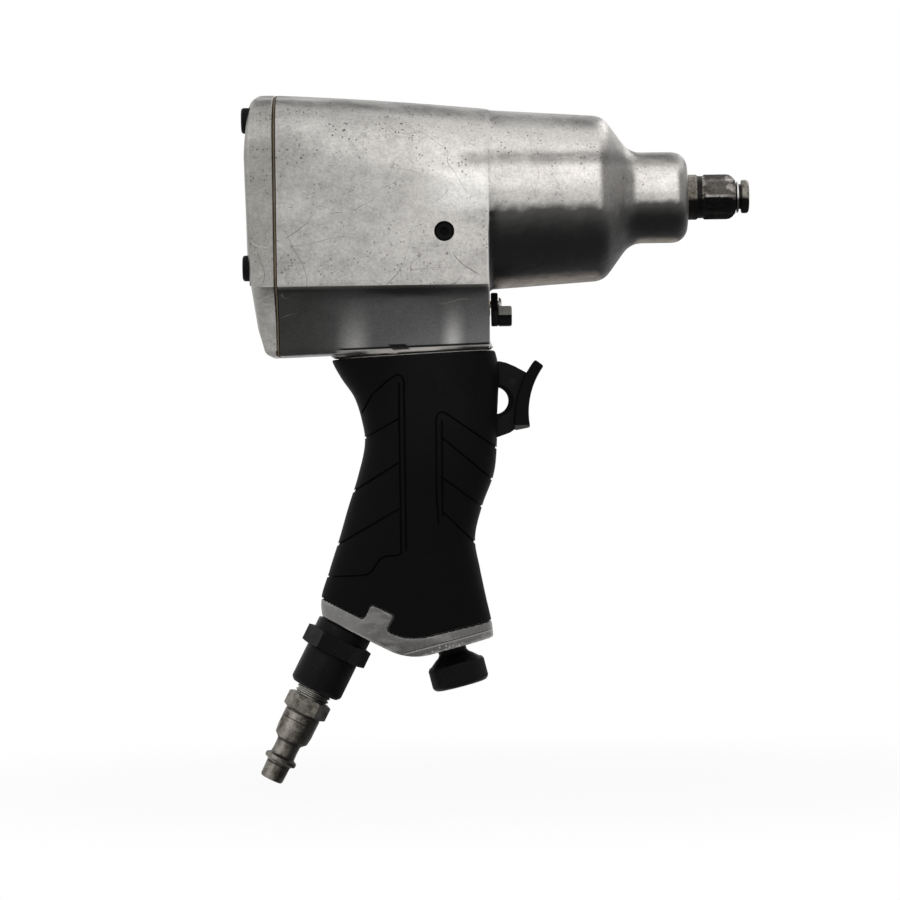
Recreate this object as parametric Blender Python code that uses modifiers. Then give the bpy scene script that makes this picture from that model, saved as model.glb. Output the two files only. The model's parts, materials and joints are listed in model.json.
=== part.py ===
"""Half-inch air impact wrench, pistol grip, twin-hammer clutch.

The anvil axis is the X axis, with the nose at +X and the tip face of the square drive at X = 0.
+Z is up, the handle hangs below, and the tool lies across Y. All lengths are in metres.
"""

from math import asin, cos, pi, radians, sin, tan

import bmesh
import bpy
from mathutils import Matrix, Vector

# ---------------------------------------------------------------- clearances
GAP = 0.0003  # running and seating clearance between neighbouring pieces
OVERLAP = 0.002  # how far a cutter runs past the face that it opens
LAP = 0.001  # how far a form runs into the form that it joins
SHY = 0.0001  # how far a joined form stays inside the surface that it meets
EDGE = 0.0005  # chamfer at the ends of small turned pieces
CUTTER_HALF_WIDTH = 0.03  # half the width of a cutter that runs right through the handle

# ---------------------------------------------------------------- square drive and anvil
DRIVE_SQUARE = 0.0127
DRIVE_CORNER_RADIUS = 0.0083
DRIVE_COLLAR_RADIUS = 0.00615
DRIVE_COLLAR_LENGTH = 0.0034
DRIVE_TIP_CHAMFER = 0.0005
RING_GROOVE_WIDTH = 0.0016
RING_GROOVE_RADIUS = 0.0046
RETAINING_RING_WIRE = 0.00034
RING_OPENING = radians(40)
SOCKET_SEAL_WIRE = 0.0003
DRIVE_BODY_LENGTH = 0.0125
DRIVE_NECK_RADIUS = 0.0071
DRIVE_NECK_LENGTH = 0.0015
ANVIL_JOURNAL_RADIUS = 0.00835
ANVIL_COLLAR_RADIUS = 0.0122
ANVIL_COLLAR_LENGTH = 0.0024
ANVIL_CORE_RADIUS = 0.008
ANVIL_JAW_RADIUS = 0.012
ANVIL_JAW_SPAN = radians(38)
ANVIL_PILOT_RADIUS = 0.0047
ANVIL_PILOT_LENGTH = 0.0035

# ---------------------------------------------------------------- nose, barrel and motor body
NOSE_FACE = -0.0228  # X of the nose's front face
NOSE_RADIUS = 0.0168
NOSE_EDGE_RADIUS = 0.0058
NOSE_LENGTH = 0.0172
NOSE_FILLET_RADIUS = 0.008
SHOULDER_RADIUS = 0.0076
SHOULDER_SLOPE = radians(54)
BARREL_FRONT_RADIUS = 0.0307
BARREL_REAR_RADIUS = 0.0337
BARREL_LENGTH = 0.0737
BARREL_LAP = 0.006  # how far the barrel runs on inside the body
BODY_SIDE_STAND = 0.0011  # how far the flat sides stand out beyond the barrel at the rear
BODY_FRONT_EASE = 0.0008  # how much narrower the body is where the barrel runs into it
BODY_TOP_STAND = 0.0002  # how far the arch stands over the barrel in front
BODY_ARCH_GAP = radians(3)  # what each corner arc leaves for the crown of the arch
BODY_TOP_REAR = 0.0398
BODY_TOP_CROWN = 0.00055
BODY_CORNER_RADIUS = 0.020
BODY_CROWN = 0.0020
CREASE_HEIGHT = -0.0324
KEEL_BOTTOM_FRONT = -0.0548
KEEL_BOTTOM_REAR = -0.0572
KEEL_HALF_WIDTH = 0.017
KEEL_EDGE_RADIUS = 0.002

# ---------------------------------------------------------------- rear cover, gasket and screws
GASKET_THICKNESS = 0.0006
COVER_EDGE_THICKNESS = 0.0060
COVER_DOME_HEIGHT = 0.0048
COVER_DOME_INSETS = (0.06, 0.20, 0.45)  # shares by which the outline shrinks up the dome
COVER_DOME_RISE = 0.006  # height of the dome's middle over the middle of the outline
COVER_POCKET_DEPTH = 0.0045
COVER_POCKET_RADIUS = 0.024
SCREW_TOP = (0.012, 0.0288)  # distance in from the body's side, and height
SCREW_BOTTOM = (0.0078, -0.0252)
SCREW_HEAD_RADIUS = 0.0047
SCREW_HEAD_HEIGHT = 0.0055
SCREW_SHANK_RADIUS = 0.003
SCREW_LENGTH = 0.025
SCREW_SOCKET = 0.005
SCREW_SOCKET_DEPTH = 0.003
SCREW_STAND_PROUD = 0.0007
WASHER_THICKNESS = 0.0012
WASHER_INSET = 0.0002  # how much smaller the lock washer is than the head

# ---------------------------------------------------------------- air motor
MOTOR_BORE_RADIUS = 0.0265
HAMMER_BORE_RADIUS = 0.0255
REAR_PLATE_THICKNESS = 0.0085
FRONT_PLATE_THICKNESS = 0.009
CYLINDER_LENGTH = 0.0379
CYLINDER_BORE_RADIUS = 0.019
CYLINDER_OFFSET = 0.0016
CYLINDER_PORTS = 4
PORT_WIDTH = 0.003
PORT_HEIGHT = 0.014
PLATE_SHAFT_ROOM = 0.001  # how far the end plates' holes clear the shaft
ROTOR_RADIUS = 0.017
VANE_COUNT = 6
VANE_THICKNESS = 0.0018
VANE_HEIGHT = 0.0075
REAR_BEARING_BORE = 0.008
REAR_BEARING_OUTSIDE = 0.022
REAR_BEARING_WIDTH = 0.007
FRONT_BEARING_BORE = 0.012
FRONT_BEARING_OUTSIDE = 0.028
FRONT_BEARING_WIDTH = 0.008
SHIELD_RECESS = 0.0006
SPLINE_RADIUS = 0.0054
SPLINE_TOOTH = 0.001
SPLINE_TEETH = 8
SPLINE_LENGTH = 0.0105
DOWEL_RADIUS = 0.0012
DOWEL_PITCH_RADIUS = 0.0233
DOWEL_SEAT = 0.006
CLUTCH_TO_MOTOR = 0.0052  # from the cage's hub to the front of the motor

# ---------------------------------------------------------------- twin-hammer clutch
CAGE_RADIUS = 0.0246
CAGE_PLATE_THICKNESS = 0.005
CAGE_WEB_INSIDE = 0.0219
CAGE_WEB_SPAN = radians(56)
CAGE_HUB_RADIUS = 0.010
CAGE_HUB_LENGTH = 0.007
CAGE_BORE_RADIUS = 0.0126
CAGE_PIN_SEAT = 0.0015  # what is left of the front plate over the pins' ends
HAMMER_LENGTH = 0.0165
HAMMER_RADIUS = 0.0205
HAMMER_BORE = 0.0128
HAMMER_EAR_RADIUS = 0.0102
HAMMER_EAR_SPAN = radians(36)
HAMMER_SWING = radians(8)
HAMMER_PIN_RADIUS = 0.0034
HAMMER_PIN_PITCH = 0.018
HAMMER_SWING_ROOM = 0.0003  # what the notch for the far pin has beyond the running clearance
BUSHING_WALL = 0.003
BUSHING_LENGTH = 0.032
BUSHING_FROM_FACE = 0.0012
THRUST_WASHER_THICKNESS = 0.0012

# ---------------------------------------------------------------- handle
# height, and how far the rear and front edges of the rubber's side outline lie before the body's front
HANDLE_STATIONS = (
    (-0.0500, -0.0595, 0.0015),
    (-0.0580, -0.0587, 0.0018),
    (-0.0650, -0.0552, 0.0034),
    (-0.0720, -0.0505, 0.0030),
    (-0.0800, -0.0479, 0.0025),
    (-0.0890, -0.0467, 0.0022),
    (-0.1010, -0.0493, 0.0009),
    (-0.1130, -0.0532, -0.0036),
    (-0.1250, -0.0568, -0.0064),
    (-0.1370, -0.0607, -0.0046),
    (-0.1470, -0.0637, -0.0026),
    (-0.1570, -0.0627, -0.0005),
    (-0.1720, -0.0607, 0.0003),
)
HANDLE_HALF_WIDTH = 0.0165
HANDLE_WAIST = 0.0012
HANDLE_SQUARENESS = 2.5
GRIP_WALL = 0.0022
GRIP_TOP_FRONT = -0.0556
GRIP_TOP_REAR = -0.0584
NECK_INSET = 0.0005
NECK_TOP_INSET = 0.0024  # keeps the neck's hidden top behind the reverse lever's sweep
CORE_FOOT_RISE = 0.002  # how far over the flange's underside the handle's core is cut off
GRIP_FOOT_RISE = 0.003
FLANGE_VERTEX = (-0.0314, -0.1692)  # from the body's front to where the two undersides would meet
FLANGE_VERTEX_RADIUS = 0.014
FLANGE_REAR_THICKNESS = 0.006
FLANGE_FRONT_THICKNESS = 0.0048
TAB_WIDTH = 0.0094
TAB_HEIGHT = 0.0064
TAB_FROM_VERTEX = 0.0168
FLANGE_REACH = 0.06  # length of the flange's cutting outline each way from the vertex

# ---------------------------------------------------------------- air inlet
INLET_TILT = radians(27)
INLET_FROM_VERTEX = 0.0262  # along the flange's rear underside
INLET_BORE_RADIUS = 0.0076
BUSHING_COLLAR_RADIUS = 0.0105
BUSHING_COLLAR_HEIGHT = 0.0047
BUSHING_HEX = 0.022
BUSHING_HEX_HEIGHT = 0.0064
BUSHING_SLEEVE_RADIUS = 0.010
BUSHING_SLEEVE_LENGTH = 0.0147
BUSHING_SLEEVE_CHAMFER = 0.0017
BUSHING_BORE_RADIUS = 0.0045
BUSHING_SHANK_LENGTH = 0.019
PLUG_THREAD_RADIUS = 0.0066
PLUG_THREAD_LENGTH = 0.013
PLUG_THREAD_SHOWING = 0.0032
PLUG_HEX = 0.0145
PLUG_HEX_HEIGHT = 0.0064
PLUG_BODY_RADIUS = 0.0068
PLUG_BODY_TAPER = 0.0005
PLUG_BODY_LENGTH = 0.0102
PLUG_SHOULDER_LENGTH = 0.0018
PLUG_NECK_RADIUS = 0.00455
PLUG_NECK_LENGTH = 0.0059
PLUG_RING_RADIUS = 0.0061
PLUG_RING_LENGTH = 0.0024
PLUG_TIP_RADIUS = 0.0045
PLUG_TIP_LENGTH = 0.0069
PLUG_TIP_TAPER = 0.0002
PLUG_BORE_RADIUS = 0.003
SCREEN_LENGTH = 0.022
SCREEN_RADIUS = 0.0066
SCREEN_WALL = 0.0008
SCREEN_RIM = 0.001

# ---------------------------------------------------------------- throttle valve and trigger
SEAT_HEIGHT = 0.0645  # up the inlet bore from the flange's underside
SEAT_THICKNESS = 0.004
SEAT_HOLE_RADIUS = 0.0044
VALVE_DISC_RADIUS = 0.0062
VALVE_DISC_THICKNESS = 0.003
VALVE_STEM_RADIUS = 0.0015
VALVE_STEM_LENGTH = 0.0215
VALVE_CHAMBER_RADIUS = 0.0052
VALVE_HEADROOM = 0.0016
SPRING_RADIUS = 0.0043
SPRING_WIRE = 0.0005
SPRING_TURNS = 4
TRIGGER_TRAVEL = 0.003
TRIGGER_WEB = 0.0045
TRIGGER_PAD_WIDTH = 0.015
TRIGGER_PAD_THICKNESS = 0.004
TRIGGER_PAD_RADIUS = 0.0288
TRIGGER_PAD_CENTRE = (0.0428, -0.079)  # from the body's front
TRIGGER_PAD_TOP = radians(143.1)
TRIGGER_PAD_FOOT = radians(190.6)
TRIGGER_SET_BACK = 0.0057  # from the body's front to the rear of the web
TRIGGER_TOP = -0.0612
TRIGGER_FOOT = -0.0879
TRIGGER_WINDOW = (0.0016, -0.0742)  # from the body's front
TRIGGER_WINDOW_RADIUS = 0.005
TRIGGER_WINDOW_LENGTH = 0.0006
TRIGGER_WEB_TOP_REACH = 0.0035  # how far the web's top runs level in front of the body
TRIGGER_WEB_FOOT_REACH = 0.002
TRIGGER_WEB_FOOT_RISE = 0.0017
TRIGGER_WEB_TOP_TURN = radians(10)  # along the pad, from its top to where the web joins
TRIGGER_WEB_FOOT_TURN = radians(4)
TRIGGER_PAD_FOOT_INSET = 0.003
TRIGGER_PAD_EDGE = 0.0009
TRIGGER_SLOT_REACH = 0.01  # how far the slot's cutter runs in front of the body
GRIP_SLOT_DEPTH = 0.0135  # how far the slot in the rubber runs behind the body's front
TRIGGER_ROD_HEIGHT = -0.083
TRIGGER_ROD_RADIUS = 0.0018
TRIGGER_PIN_RADIUS = 0.00125
TRIGGER_PIN_LENGTH = 0.0125

# ---------------------------------------------------------------- regulator
KNOB_TILT = radians(14)
KNOB_FROM_VERTEX = 0.0162  # along the flange's front underside
KNOB_NECK_RADIUS = 0.0059
KNOB_NECK_LENGTH = 0.0027
KNOB_CONE_LENGTH = 0.0025
KNOB_RADIUS = 0.0106
KNOB_HEIGHT = 0.009
KNOB_EDGE = 0.0012
REGULATOR_STEM_RADIUS = 0.004
REGULATOR_STEM_LENGTH = 0.028
REGULATOR_SEAL_DEPTH = 0.008
REGULATOR_SEAL_WIRE = 0.0008

# ---------------------------------------------------------------- reverse valve and lever
REVERSE_HEIGHT = -0.0387
REVERSE_RADIUS = 0.0043
REVERSE_LENGTH = 0.028
REVERSE_WAIST = 0.0028
LEVER_HUB_RADIUS = 0.0044
LEVER_THICKNESS = 0.0026
LEVER_REACH = 0.009
LEVER_REST = radians(210)
LEVER_FINGER_RADIUS = 0.0038
LEVER_FINGER_LENGTH = 0.005
LEVER_SCREW_HEAD_RADIUS = 0.0026
LEVER_SCREW_HEAD_HEIGHT = 0.0011
LEVER_SCREW_RADIUS = 0.0013
LEVER_SCREW_LENGTH = 0.009
SPOOL_LAND = 0.004
SPOOL_TAPER = 0.001
DETENT_BALL_RADIUS = 0.0015
DETENT_GROOVE_DEPTH = 0.0005
DETENT_FROM_FACE = 0.008
DETENT_SPRING_LENGTH = 0.006
DETENT_SPRING_WIRE = 0.00025
DETENT_SPRING_TURNS = 3

# ---------------------------------------------------------------- oil port and exhaust
OIL_PORT = (-0.0162, -0.0129)  # from the body's front
OIL_PORT_RADIUS = 0.0036
OIL_PLUG_DEPTH = 0.003
OIL_PLUG_LENGTH = 0.005
OIL_PLUG_SOCKET = 0.003
OIL_PLUG_SOCKET_DEPTH = 0.002
OIL_PORT_REACH = 0.006  # how far the port runs in past the hammer bore's radius
MUFFLER_RADIUS = 0.0052
MUFFLER_LENGTH = 0.016
MUFFLER_FROM_VERTEX = 0.0045
MUFFLER_SET_BACK = 0.001

# ---------------------------------------------------------------- facets
FINE = 30
ROUND = 18
SMALL = 12
TINY = 8

# ---------------------------------------------------------------- stations along the anvil axis
RING_GROOVE = -DRIVE_COLLAR_LENGTH
DRIVE_BODY = RING_GROOVE - RING_GROOVE_WIDTH
DRIVE_NECK = DRIVE_BODY - DRIVE_BODY_LENGTH
ANVIL_JOURNAL = DRIVE_NECK - DRIVE_NECK_LENGTH
BUSHING_FRONT = NOSE_FACE - BUSHING_FROM_FACE
BUSHING_REAR = BUSHING_FRONT - BUSHING_LENGTH
THRUST_WASHER_FRONT = BUSHING_REAR - GAP
ANVIL_COLLAR = THRUST_WASHER_FRONT - THRUST_WASHER_THICKNESS - GAP
CAGE_FRONT = ANVIL_COLLAR - ANVIL_COLLAR_LENGTH - GAP
HAMMER_FRONT = CAGE_FRONT - CAGE_PLATE_THICKNESS - GAP
HAMMER_REAR = HAMMER_FRONT - HAMMER_LENGTH - 2 * GAP
CAGE_REAR_PLATE = HAMMER_REAR - HAMMER_LENGTH - GAP
CAGE_REAR = CAGE_REAR_PLATE - CAGE_PLATE_THICKNESS - CAGE_HUB_LENGTH
SPLINE_FRONT = CAGE_REAR_PLATE - ANVIL_PILOT_LENGTH - 2 * GAP
MOTOR_SHOULDER = CAGE_REAR - CLUTCH_TO_MOTOR
FRONT_PLATE_FRONT = MOTOR_SHOULDER - GAP
FRONT_PLATE_REAR = FRONT_PLATE_FRONT - FRONT_PLATE_THICKNESS
CYLINDER_FRONT = FRONT_PLATE_REAR - GAP
CYLINDER_REAR = CYLINDER_FRONT - CYLINDER_LENGTH
REAR_PLATE_FRONT = CYLINDER_REAR - GAP
REAR_PLATE_REAR = REAR_PLATE_FRONT - REAR_PLATE_THICKNESS
BODY_FRONT = NOSE_FACE - BARREL_LENGTH
BODY_REAR = REAR_PLATE_REAR - GAP
BODY_LENGTH = BODY_FRONT - BODY_REAR
BODY_HALF_WIDTH = BARREL_REAR_RADIUS + BODY_SIDE_STAND
TRIGGER_REAR = BODY_FRONT - TRIGGER_SET_BACK
PAD_CENTRE = (BODY_FRONT + TRIGGER_PAD_CENTRE[0], TRIGGER_PAD_CENTRE[1])
WINDOW_CENTRE = (BODY_FRONT + TRIGGER_WINDOW[0], TRIGGER_WINDOW[1])
OIL_PORT_AT = (BODY_FRONT + OIL_PORT[0], OIL_PORT[1])
GASKET_FRONT = BODY_REAR - GAP
COVER_FRONT = GASKET_FRONT - GASKET_THICKNESS - GAP
COVER_RIM = COVER_FRONT - COVER_EDGE_THICKNESS
COVER_BACK = COVER_RIM - COVER_DOME_HEIGHT
SCREW_HEAD_SEAT = COVER_BACK - SCREW_STAND_PROUD + SCREW_HEAD_HEIGHT
WASHER_REAR = SCREW_HEAD_SEAT + GAP
COUNTERBORE_FLOOR = WASHER_REAR + WASHER_THICKNESS + GAP

HANDLE_TOP = HANDLE_STATIONS[0][0]
FLANGE_FORM_TOP = HANDLE_STATIONS[8][0]

# ---------------------------------------------------------------- frames: columns are local x, y and z
ALONG_X = Matrix(((0, 0, 1), (1, 0, 0), (0, 1, 0)))
ALONG_Y = Matrix(((1, 0, 0), (0, 0, -1), (0, 1, 0)))
UPRIGHT = Matrix.Identity(3)


def axis_frame(direction):
    """A frame whose z runs along a direction in the XZ plane, and whose y is the tool's Y."""
    z = Vector(direction).normalized()
    y = Vector((0, 1, 0))
    return Matrix((y.cross(z), y, z)).transposed()


INLET_UP = Vector((sin(INLET_TILT), 0, cos(INLET_TILT)))
INLET_SIDE = Vector((cos(INLET_TILT), 0, -sin(INLET_TILT)))
KNOB_UP = Vector((-sin(KNOB_TILT), 0, cos(KNOB_TILT)))
KNOB_SIDE = Vector((cos(KNOB_TILT), 0, sin(KNOB_TILT)))
VERTEX = Vector((BODY_FRONT + FLANGE_VERTEX[0], 0, FLANGE_VERTEX[1]))
INLET_ORIGIN = VERTEX - INLET_SIDE * INLET_FROM_VERTEX
KNOB_ORIGIN = VERTEX + KNOB_SIDE * KNOB_FROM_VERTEX
INLET_FRAME = axis_frame(INLET_UP)
KNOB_FRAME = axis_frame(KNOB_UP)

MATERIALS = {
    "cast_aluminium": ((0.62, 0.61, 0.58), 0.38, 1.0),
    "gasket_paper": ((0.55, 0.40, 0.25), 0.85, 0.0),
    "black_steel": ((0.03, 0.03, 0.03), 0.45, 0.8),
    "worn_steel": ((0.30, 0.29, 0.27), 0.42, 1.0),
    "bright_steel": ((0.60, 0.60, 0.60), 0.25, 1.0),
    "bearing_steel": ((0.55, 0.56, 0.58), 0.22, 1.0),
    "rubber": ((0.012, 0.012, 0.012), 0.75, 0.0),
    "black_plastic": ((0.020, 0.020, 0.020), 0.5, 0.0),
    "bronze": ((0.55, 0.36, 0.16), 0.4, 1.0),
    "brass": ((0.70, 0.52, 0.24), 0.3, 1.0),
    "phenolic": ((0.20, 0.10, 0.04), 0.6, 0.0),
    "felt": ((0.35, 0.34, 0.30), 0.95, 0.0),
}


# ================================================================ tools
def clear_scene():
    for obj in list(bpy.data.objects):
        bpy.data.objects.remove(obj, do_unlink=True)


def collection(name):
    made = bpy.data.collections.new(name)
    bpy.context.scene.collection.children.link(made)
    return made


def material(name):
    found = bpy.data.materials.get(name)
    if found:
        return found
    colour, roughness, metallic = MATERIALS[name]
    made = bpy.data.materials.new(name)
    made.use_nodes = True
    shader = made.node_tree.nodes["Principled BSDF"]
    shader.inputs["Base Color"].default_value = (*colour, 1)
    shader.inputs["Roughness"].default_value = roughness
    shader.inputs["Metallic"].default_value = metallic
    made.diffuse_color = (*colour, 1)
    return made


def place(name, mesh, at, frame, finish):
    """An object of this mesh. A piece has a finish; a cutter or a form to join has none."""
    obj = bpy.data.objects.new(name, mesh)
    obj.matrix_world = Matrix.Translation(Vector(at)) @ frame.to_4x4()
    if finish:
        mesh.materials.append(material(finish))
        PARTS.objects.link(obj)
    else:
        obj.hide_render = True
        obj.display_type = "WIRE"
        FORMS.objects.link(obj)
    return obj


def hang_on(obj, at, frame):
    """Parent a moving piece to an empty on its joint axis, without moving the piece."""
    hinge = bpy.data.objects.new(f"{obj.name}_pivot", None)
    hinge.matrix_world = Matrix.Translation(Vector(at)) @ frame.to_4x4()
    PARTS.objects.link(hinge)
    obj.parent = hinge
    obj.matrix_parent_inverse = hinge.matrix_world.inverted()


def mesh_of(name, bm):
    mesh = bpy.data.meshes.new(name)
    bm.normal_update()
    bm.to_mesh(mesh)
    bm.free()
    return mesh


def smooth(mesh, angle=30):
    mesh.shade_smooth()
    mesh.set_sharp_from_angle(angle=radians(angle))


def turned(name, profile, at=(0, 0, 0), frame=ALONG_X, finish=None, steps=ROUND, ring=False):
    """A profile of (radius, height) points, top to bottom, turned about the frame's z."""
    mesh = bpy.data.meshes.new(name)
    edges = [(i, i + 1) for i in range(len(profile) - 1)]
    if ring:
        edges.append((len(profile) - 1, 0))
    mesh.from_pydata([(r, 0, h) for r, h in profile], edges, [])
    obj = place(name, mesh, at, frame, finish)
    screw = obj.modifiers.new("Turn", "SCREW")
    screw.steps = screw.render_steps = steps
    screw.use_merge_vertices = True
    screw.merge_threshold = 0.00001
    return obj


def cylinder(name, radius, low, high, at=(0, 0, 0), frame=ALONG_X, finish=None, steps=ROUND):
    """A plain cylinder from low to high along the frame's z."""
    bm = bmesh.new()
    bmesh.ops.create_cone(
        bm, cap_ends=True, segments=steps, radius1=radius, radius2=radius, depth=high - low,
        matrix=Matrix.Translation((0, 0, (low + high) / 2)),
    )
    return place(name, mesh_of(name, bm), at, frame, finish)


def ring_section(name, inside, outside, low, high, at, finish, steps=SMALL):
    """A plain ring of square section about the anvil's direction."""
    profile = [(inside, high), (outside, high), (outside, low), (inside, low)]
    return turned(name, profile, at, ALONG_X, finish, steps, ring=True)


def prism(name, outline, low, high, at=(0, 0, 0), frame=ALONG_X, finish=None):
    """An outline in the frame's xy plane, run from low to high along its z."""
    bm = bmesh.new()
    corners = [bm.verts.new((x, y, low)) for x, y in outline]
    face = bm.faces.new(corners)
    made = bmesh.ops.extrude_face_region(bm, geom=[face])
    moved = [v for v in made["geom"] if isinstance(v, bmesh.types.BMVert)]
    bmesh.ops.translate(bm, verts=moved, vec=(0, 0, high - low))
    bmesh.ops.recalc_face_normals(bm, faces=bm.faces)
    return place(name, mesh_of(name, bm), at, frame, finish)


def through(name, outline, at=(0, 0, 0)):
    """A cutter of this side outline that runs right through the handle."""
    return prism(name, outline, -CUTTER_HALF_WIDTH, CUTTER_HALF_WIDTH, at, ALONG_Y)


def box(name, low, high, finish=None):
    bm = bmesh.new()
    size = [b - a for a, b in zip(low, high)]
    middle = [(a + b) / 2 for a, b in zip(low, high)]
    bmesh.ops.create_cube(bm, size=1, matrix=Matrix.Translation(middle) @ Matrix.Diagonal((*size, 1)))
    return place(name, mesh_of(name, bm), (0, 0, 0), UPRIGHT, finish)


def span_box(name, corner, opposite):
    """A cutting box between any two opposite corners."""
    low = [min(a, b) for a, b in zip(corner, opposite)]
    high = [max(a, b) for a, b in zip(corner, opposite)]
    return box(name, low, high)


def loft(name, rings, finish=None):
    """A closed skin through rings of equally many points."""
    bm = bmesh.new()
    rows = [[bm.verts.new(p) for p in ring] for ring in rings]
    for lower, upper in zip(rows, rows[1:]):
        for i in range(len(lower)):
            j = (i + 1) % len(lower)
            bm.faces.new((lower[i], lower[j], upper[j], upper[i]))
    bm.faces.new(rows[0])
    bm.faces.new(rows[-1])
    bmesh.ops.recalc_face_normals(bm, faces=bm.faces)
    return place(name, mesh_of(name, bm), (0, 0, 0), UPRIGHT, finish)


def coil(name, radius, wire, turns, low, high, at, frame, finish):
    """A compression spring: a round wire on a helix."""
    points_a_turn = 8
    count = turns * points_a_turn
    curve = bpy.data.curves.new(name, "CURVE")
    curve.dimensions = "3D"
    curve.bevel_depth = wire
    curve.bevel_resolution = 1
    curve.use_fill_caps = True
    line = curve.splines.new("POLY")
    line.points.add(count)
    for i in range(count + 1):
        turn = 2 * pi * i / points_a_turn
        height = low + wire + (high - low - 2 * wire) * i / count
        line.points[i].co = (radius * cos(turn), radius * sin(turn), height, 1)
    curve.materials.append(material(finish))
    obj = bpy.data.objects.new(name, curve)
    obj.matrix_world = Matrix.Translation(Vector(at)) @ frame.to_4x4()
    PARTS.objects.link(obj)
    return obj


def torus(name, radius, wire, at, frame, finish, steps=ROUND):
    ring = [(radius + wire * cos(a), wire * sin(a)) for a in arc_angles(pi / 2, -1.5 * pi, 5)[:-1]]
    return turned(name, ring, at, frame, finish, steps, ring=True)


def boolean(target, other, operation):
    step = target.modifiers.new(other.name, "BOOLEAN")
    step.operation = operation
    step.solver = "EXACT"
    step.object = other
    return target


def cut(target, *cutters):
    for cutter in cutters:
        boolean(target, cutter, "DIFFERENCE")
    return target


def join(target, *others):
    for other in others:
        boolean(target, other, "UNION")
    return target


def rounded(obj, width, segments=2, angle=30):
    bevel = obj.modifiers.new("Round", "BEVEL")
    bevel.width = width
    bevel.segments = segments
    bevel.limit_method = "ANGLE"
    bevel.angle_limit = radians(angle)
    return obj


# ================================================================ outlines
def arc_angles(start, end, steps):
    return [start + (end - start) * i / steps for i in range(steps + 1)]


def arc(centre, radius, start, end, steps):
    return [(centre[0] + radius * cos(a), centre[1] + radius * sin(a)) for a in arc_angles(start, end, steps)]


def sector(inside, outside, start, end, steps, centre=(0, 0)):
    """The outline of a piece of a ring."""
    return arc(centre, outside, start, end, steps) + arc(centre, inside, end, start, steps)


def hexagon(across_flats, start=0.0):
    radius = across_flats / (2 * cos(pi / 6))
    return [(radius * cos(start + i * pi / 3), radius * sin(start + i * pi / 3)) for i in range(6)]


def toothed(outside, tooth, teeth):
    """A spline's outline: equal teeth and spaces."""
    points = []
    for i in range(teeth):
        middle = 2 * pi * i / teeth
        half = pi / teeth / 2
        for angle, radius in (
            (middle - half, outside), (middle + half, outside),
            (middle + half, outside - tooth), (middle + 3 * half, outside - tooth),
        ):
            points.append((radius * cos(angle), radius * sin(angle)))
    return points


def link(first, first_radius, second, second_radius, steps=10):
    """Two circles and the tangents that join them."""
    along = (second[0] - first[0], second[1] - first[1])
    reach = (along[0] ** 2 + along[1] ** 2) ** 0.5
    heading = Vector(along).angle_signed(Vector((1, 0)))
    lean = asin((first_radius - second_radius) / reach)
    side = pi / 2 - lean
    outline = arc(second, second_radius, heading - side, heading + side, steps)
    return outline + arc(first, first_radius, heading + side, heading + 2 * pi - side, steps)


def between(front, rear, share):
    return front + (rear - front) * share


def body_outline(x):
    """An arch over flat sides, and below the crease a hollow sweep in to the keel.

    In front the arch is the barrel's own circle; to the rear it rises and squares up.
    """
    share = (BODY_FRONT - x) / BODY_LENGTH
    half_width = BODY_HALF_WIDTH - BODY_FRONT_EASE * (1 - share)
    bow = 4 * BODY_TOP_CROWN * share * (1 - share)
    top = between(BARREL_REAR_RADIUS + BODY_TOP_STAND, BODY_TOP_REAR, share) + bow
    keel = between(KEEL_BOTTOM_FRONT, KEEL_BOTTOM_REAR, share)
    radius = between(BARREL_REAR_RADIUS, BODY_CORNER_RADIUS, share)
    corner_height = top - BODY_CROWN * share - radius
    corner_side = half_width - radius
    sweep_width = half_width - KEEL_HALF_WIDTH
    sweep_height = CREASE_HEIGHT - keel - KEEL_EDGE_RADIUS
    right = [(KEEL_HALF_WIDTH - KEEL_EDGE_RADIUS, keel)]
    for angle in arc_angles(0, pi / 2, 5):
        side = half_width - sweep_width * cos(angle)
        right.append((side, keel + KEEL_EDGE_RADIUS + sweep_height * sin(angle)))
    right += arc((corner_side, corner_height), radius, 0, pi / 2 - BODY_ARCH_GAP, 6)
    left = [(-y, z) for y, z in reversed(right)]
    return right + [(0, top)] + left


def fillet(before, corner, after, radius, steps=4):
    """The arc that rounds a corner between two straight runs."""
    one, two = (before - corner).normalized(), (after - corner).normalized()
    half = one.angle(two) / 2
    centre = corner + (one + two).normalized() * (radius / sin(half))
    start = (corner + one * (radius / tan(half)) - centre).normalized()
    end = (corner + two * (radius / tan(half)) - centre).normalized()
    return [centre + start.slerp(end, i / steps) * radius for i in range(steps + 1)]


def grown(outline, centre, share):
    return [(between(centre[0], y, share), between(centre[1], z, share)) for y, z in outline]


def handle_edges(height):
    """Rear and front X of the handle at a height, read along its stations."""
    for (top, rear_a, front_a), (low, rear_b, front_b) in zip(HANDLE_STATIONS, HANDLE_STATIONS[1:]):
        if low <= height <= top:
            share = (top - height) / (top - low)
            return BODY_FRONT + between(rear_a, rear_b, share), BODY_FRONT + between(front_a, front_b, share)
    raise ValueError("height off the handle")


def handle_ring(height, inset=0.0, tilt=0.0, points=20):
    """A rounded-oval section of the handle, inset from the rubber's outside."""
    rear, front = handle_edges(height)
    middle = (rear + front) / 2
    half_length = (front - rear) / 2 - inset
    depth = (HANDLE_STATIONS[0][0] - height) / (HANDLE_STATIONS[0][0] - HANDLE_STATIONS[-1][0])
    half_width = HANDLE_HALF_WIDTH - HANDLE_WAIST * sin(pi * depth) - inset
    ring = []
    for i in range(points):
        angle = 2 * pi * i / points
        across, side = cos(angle), sin(angle)
        x = half_length * abs(across) ** (2 / HANDLE_SQUARENESS) * (1 if across >= 0 else -1)
        y = half_width * abs(side) ** (2 / HANDLE_SQUARENESS) * (1 if side >= 0 else -1)
        ring.append((middle + x, y, height + tilt * (x + half_length) / (2 * half_length)))
    return ring


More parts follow.
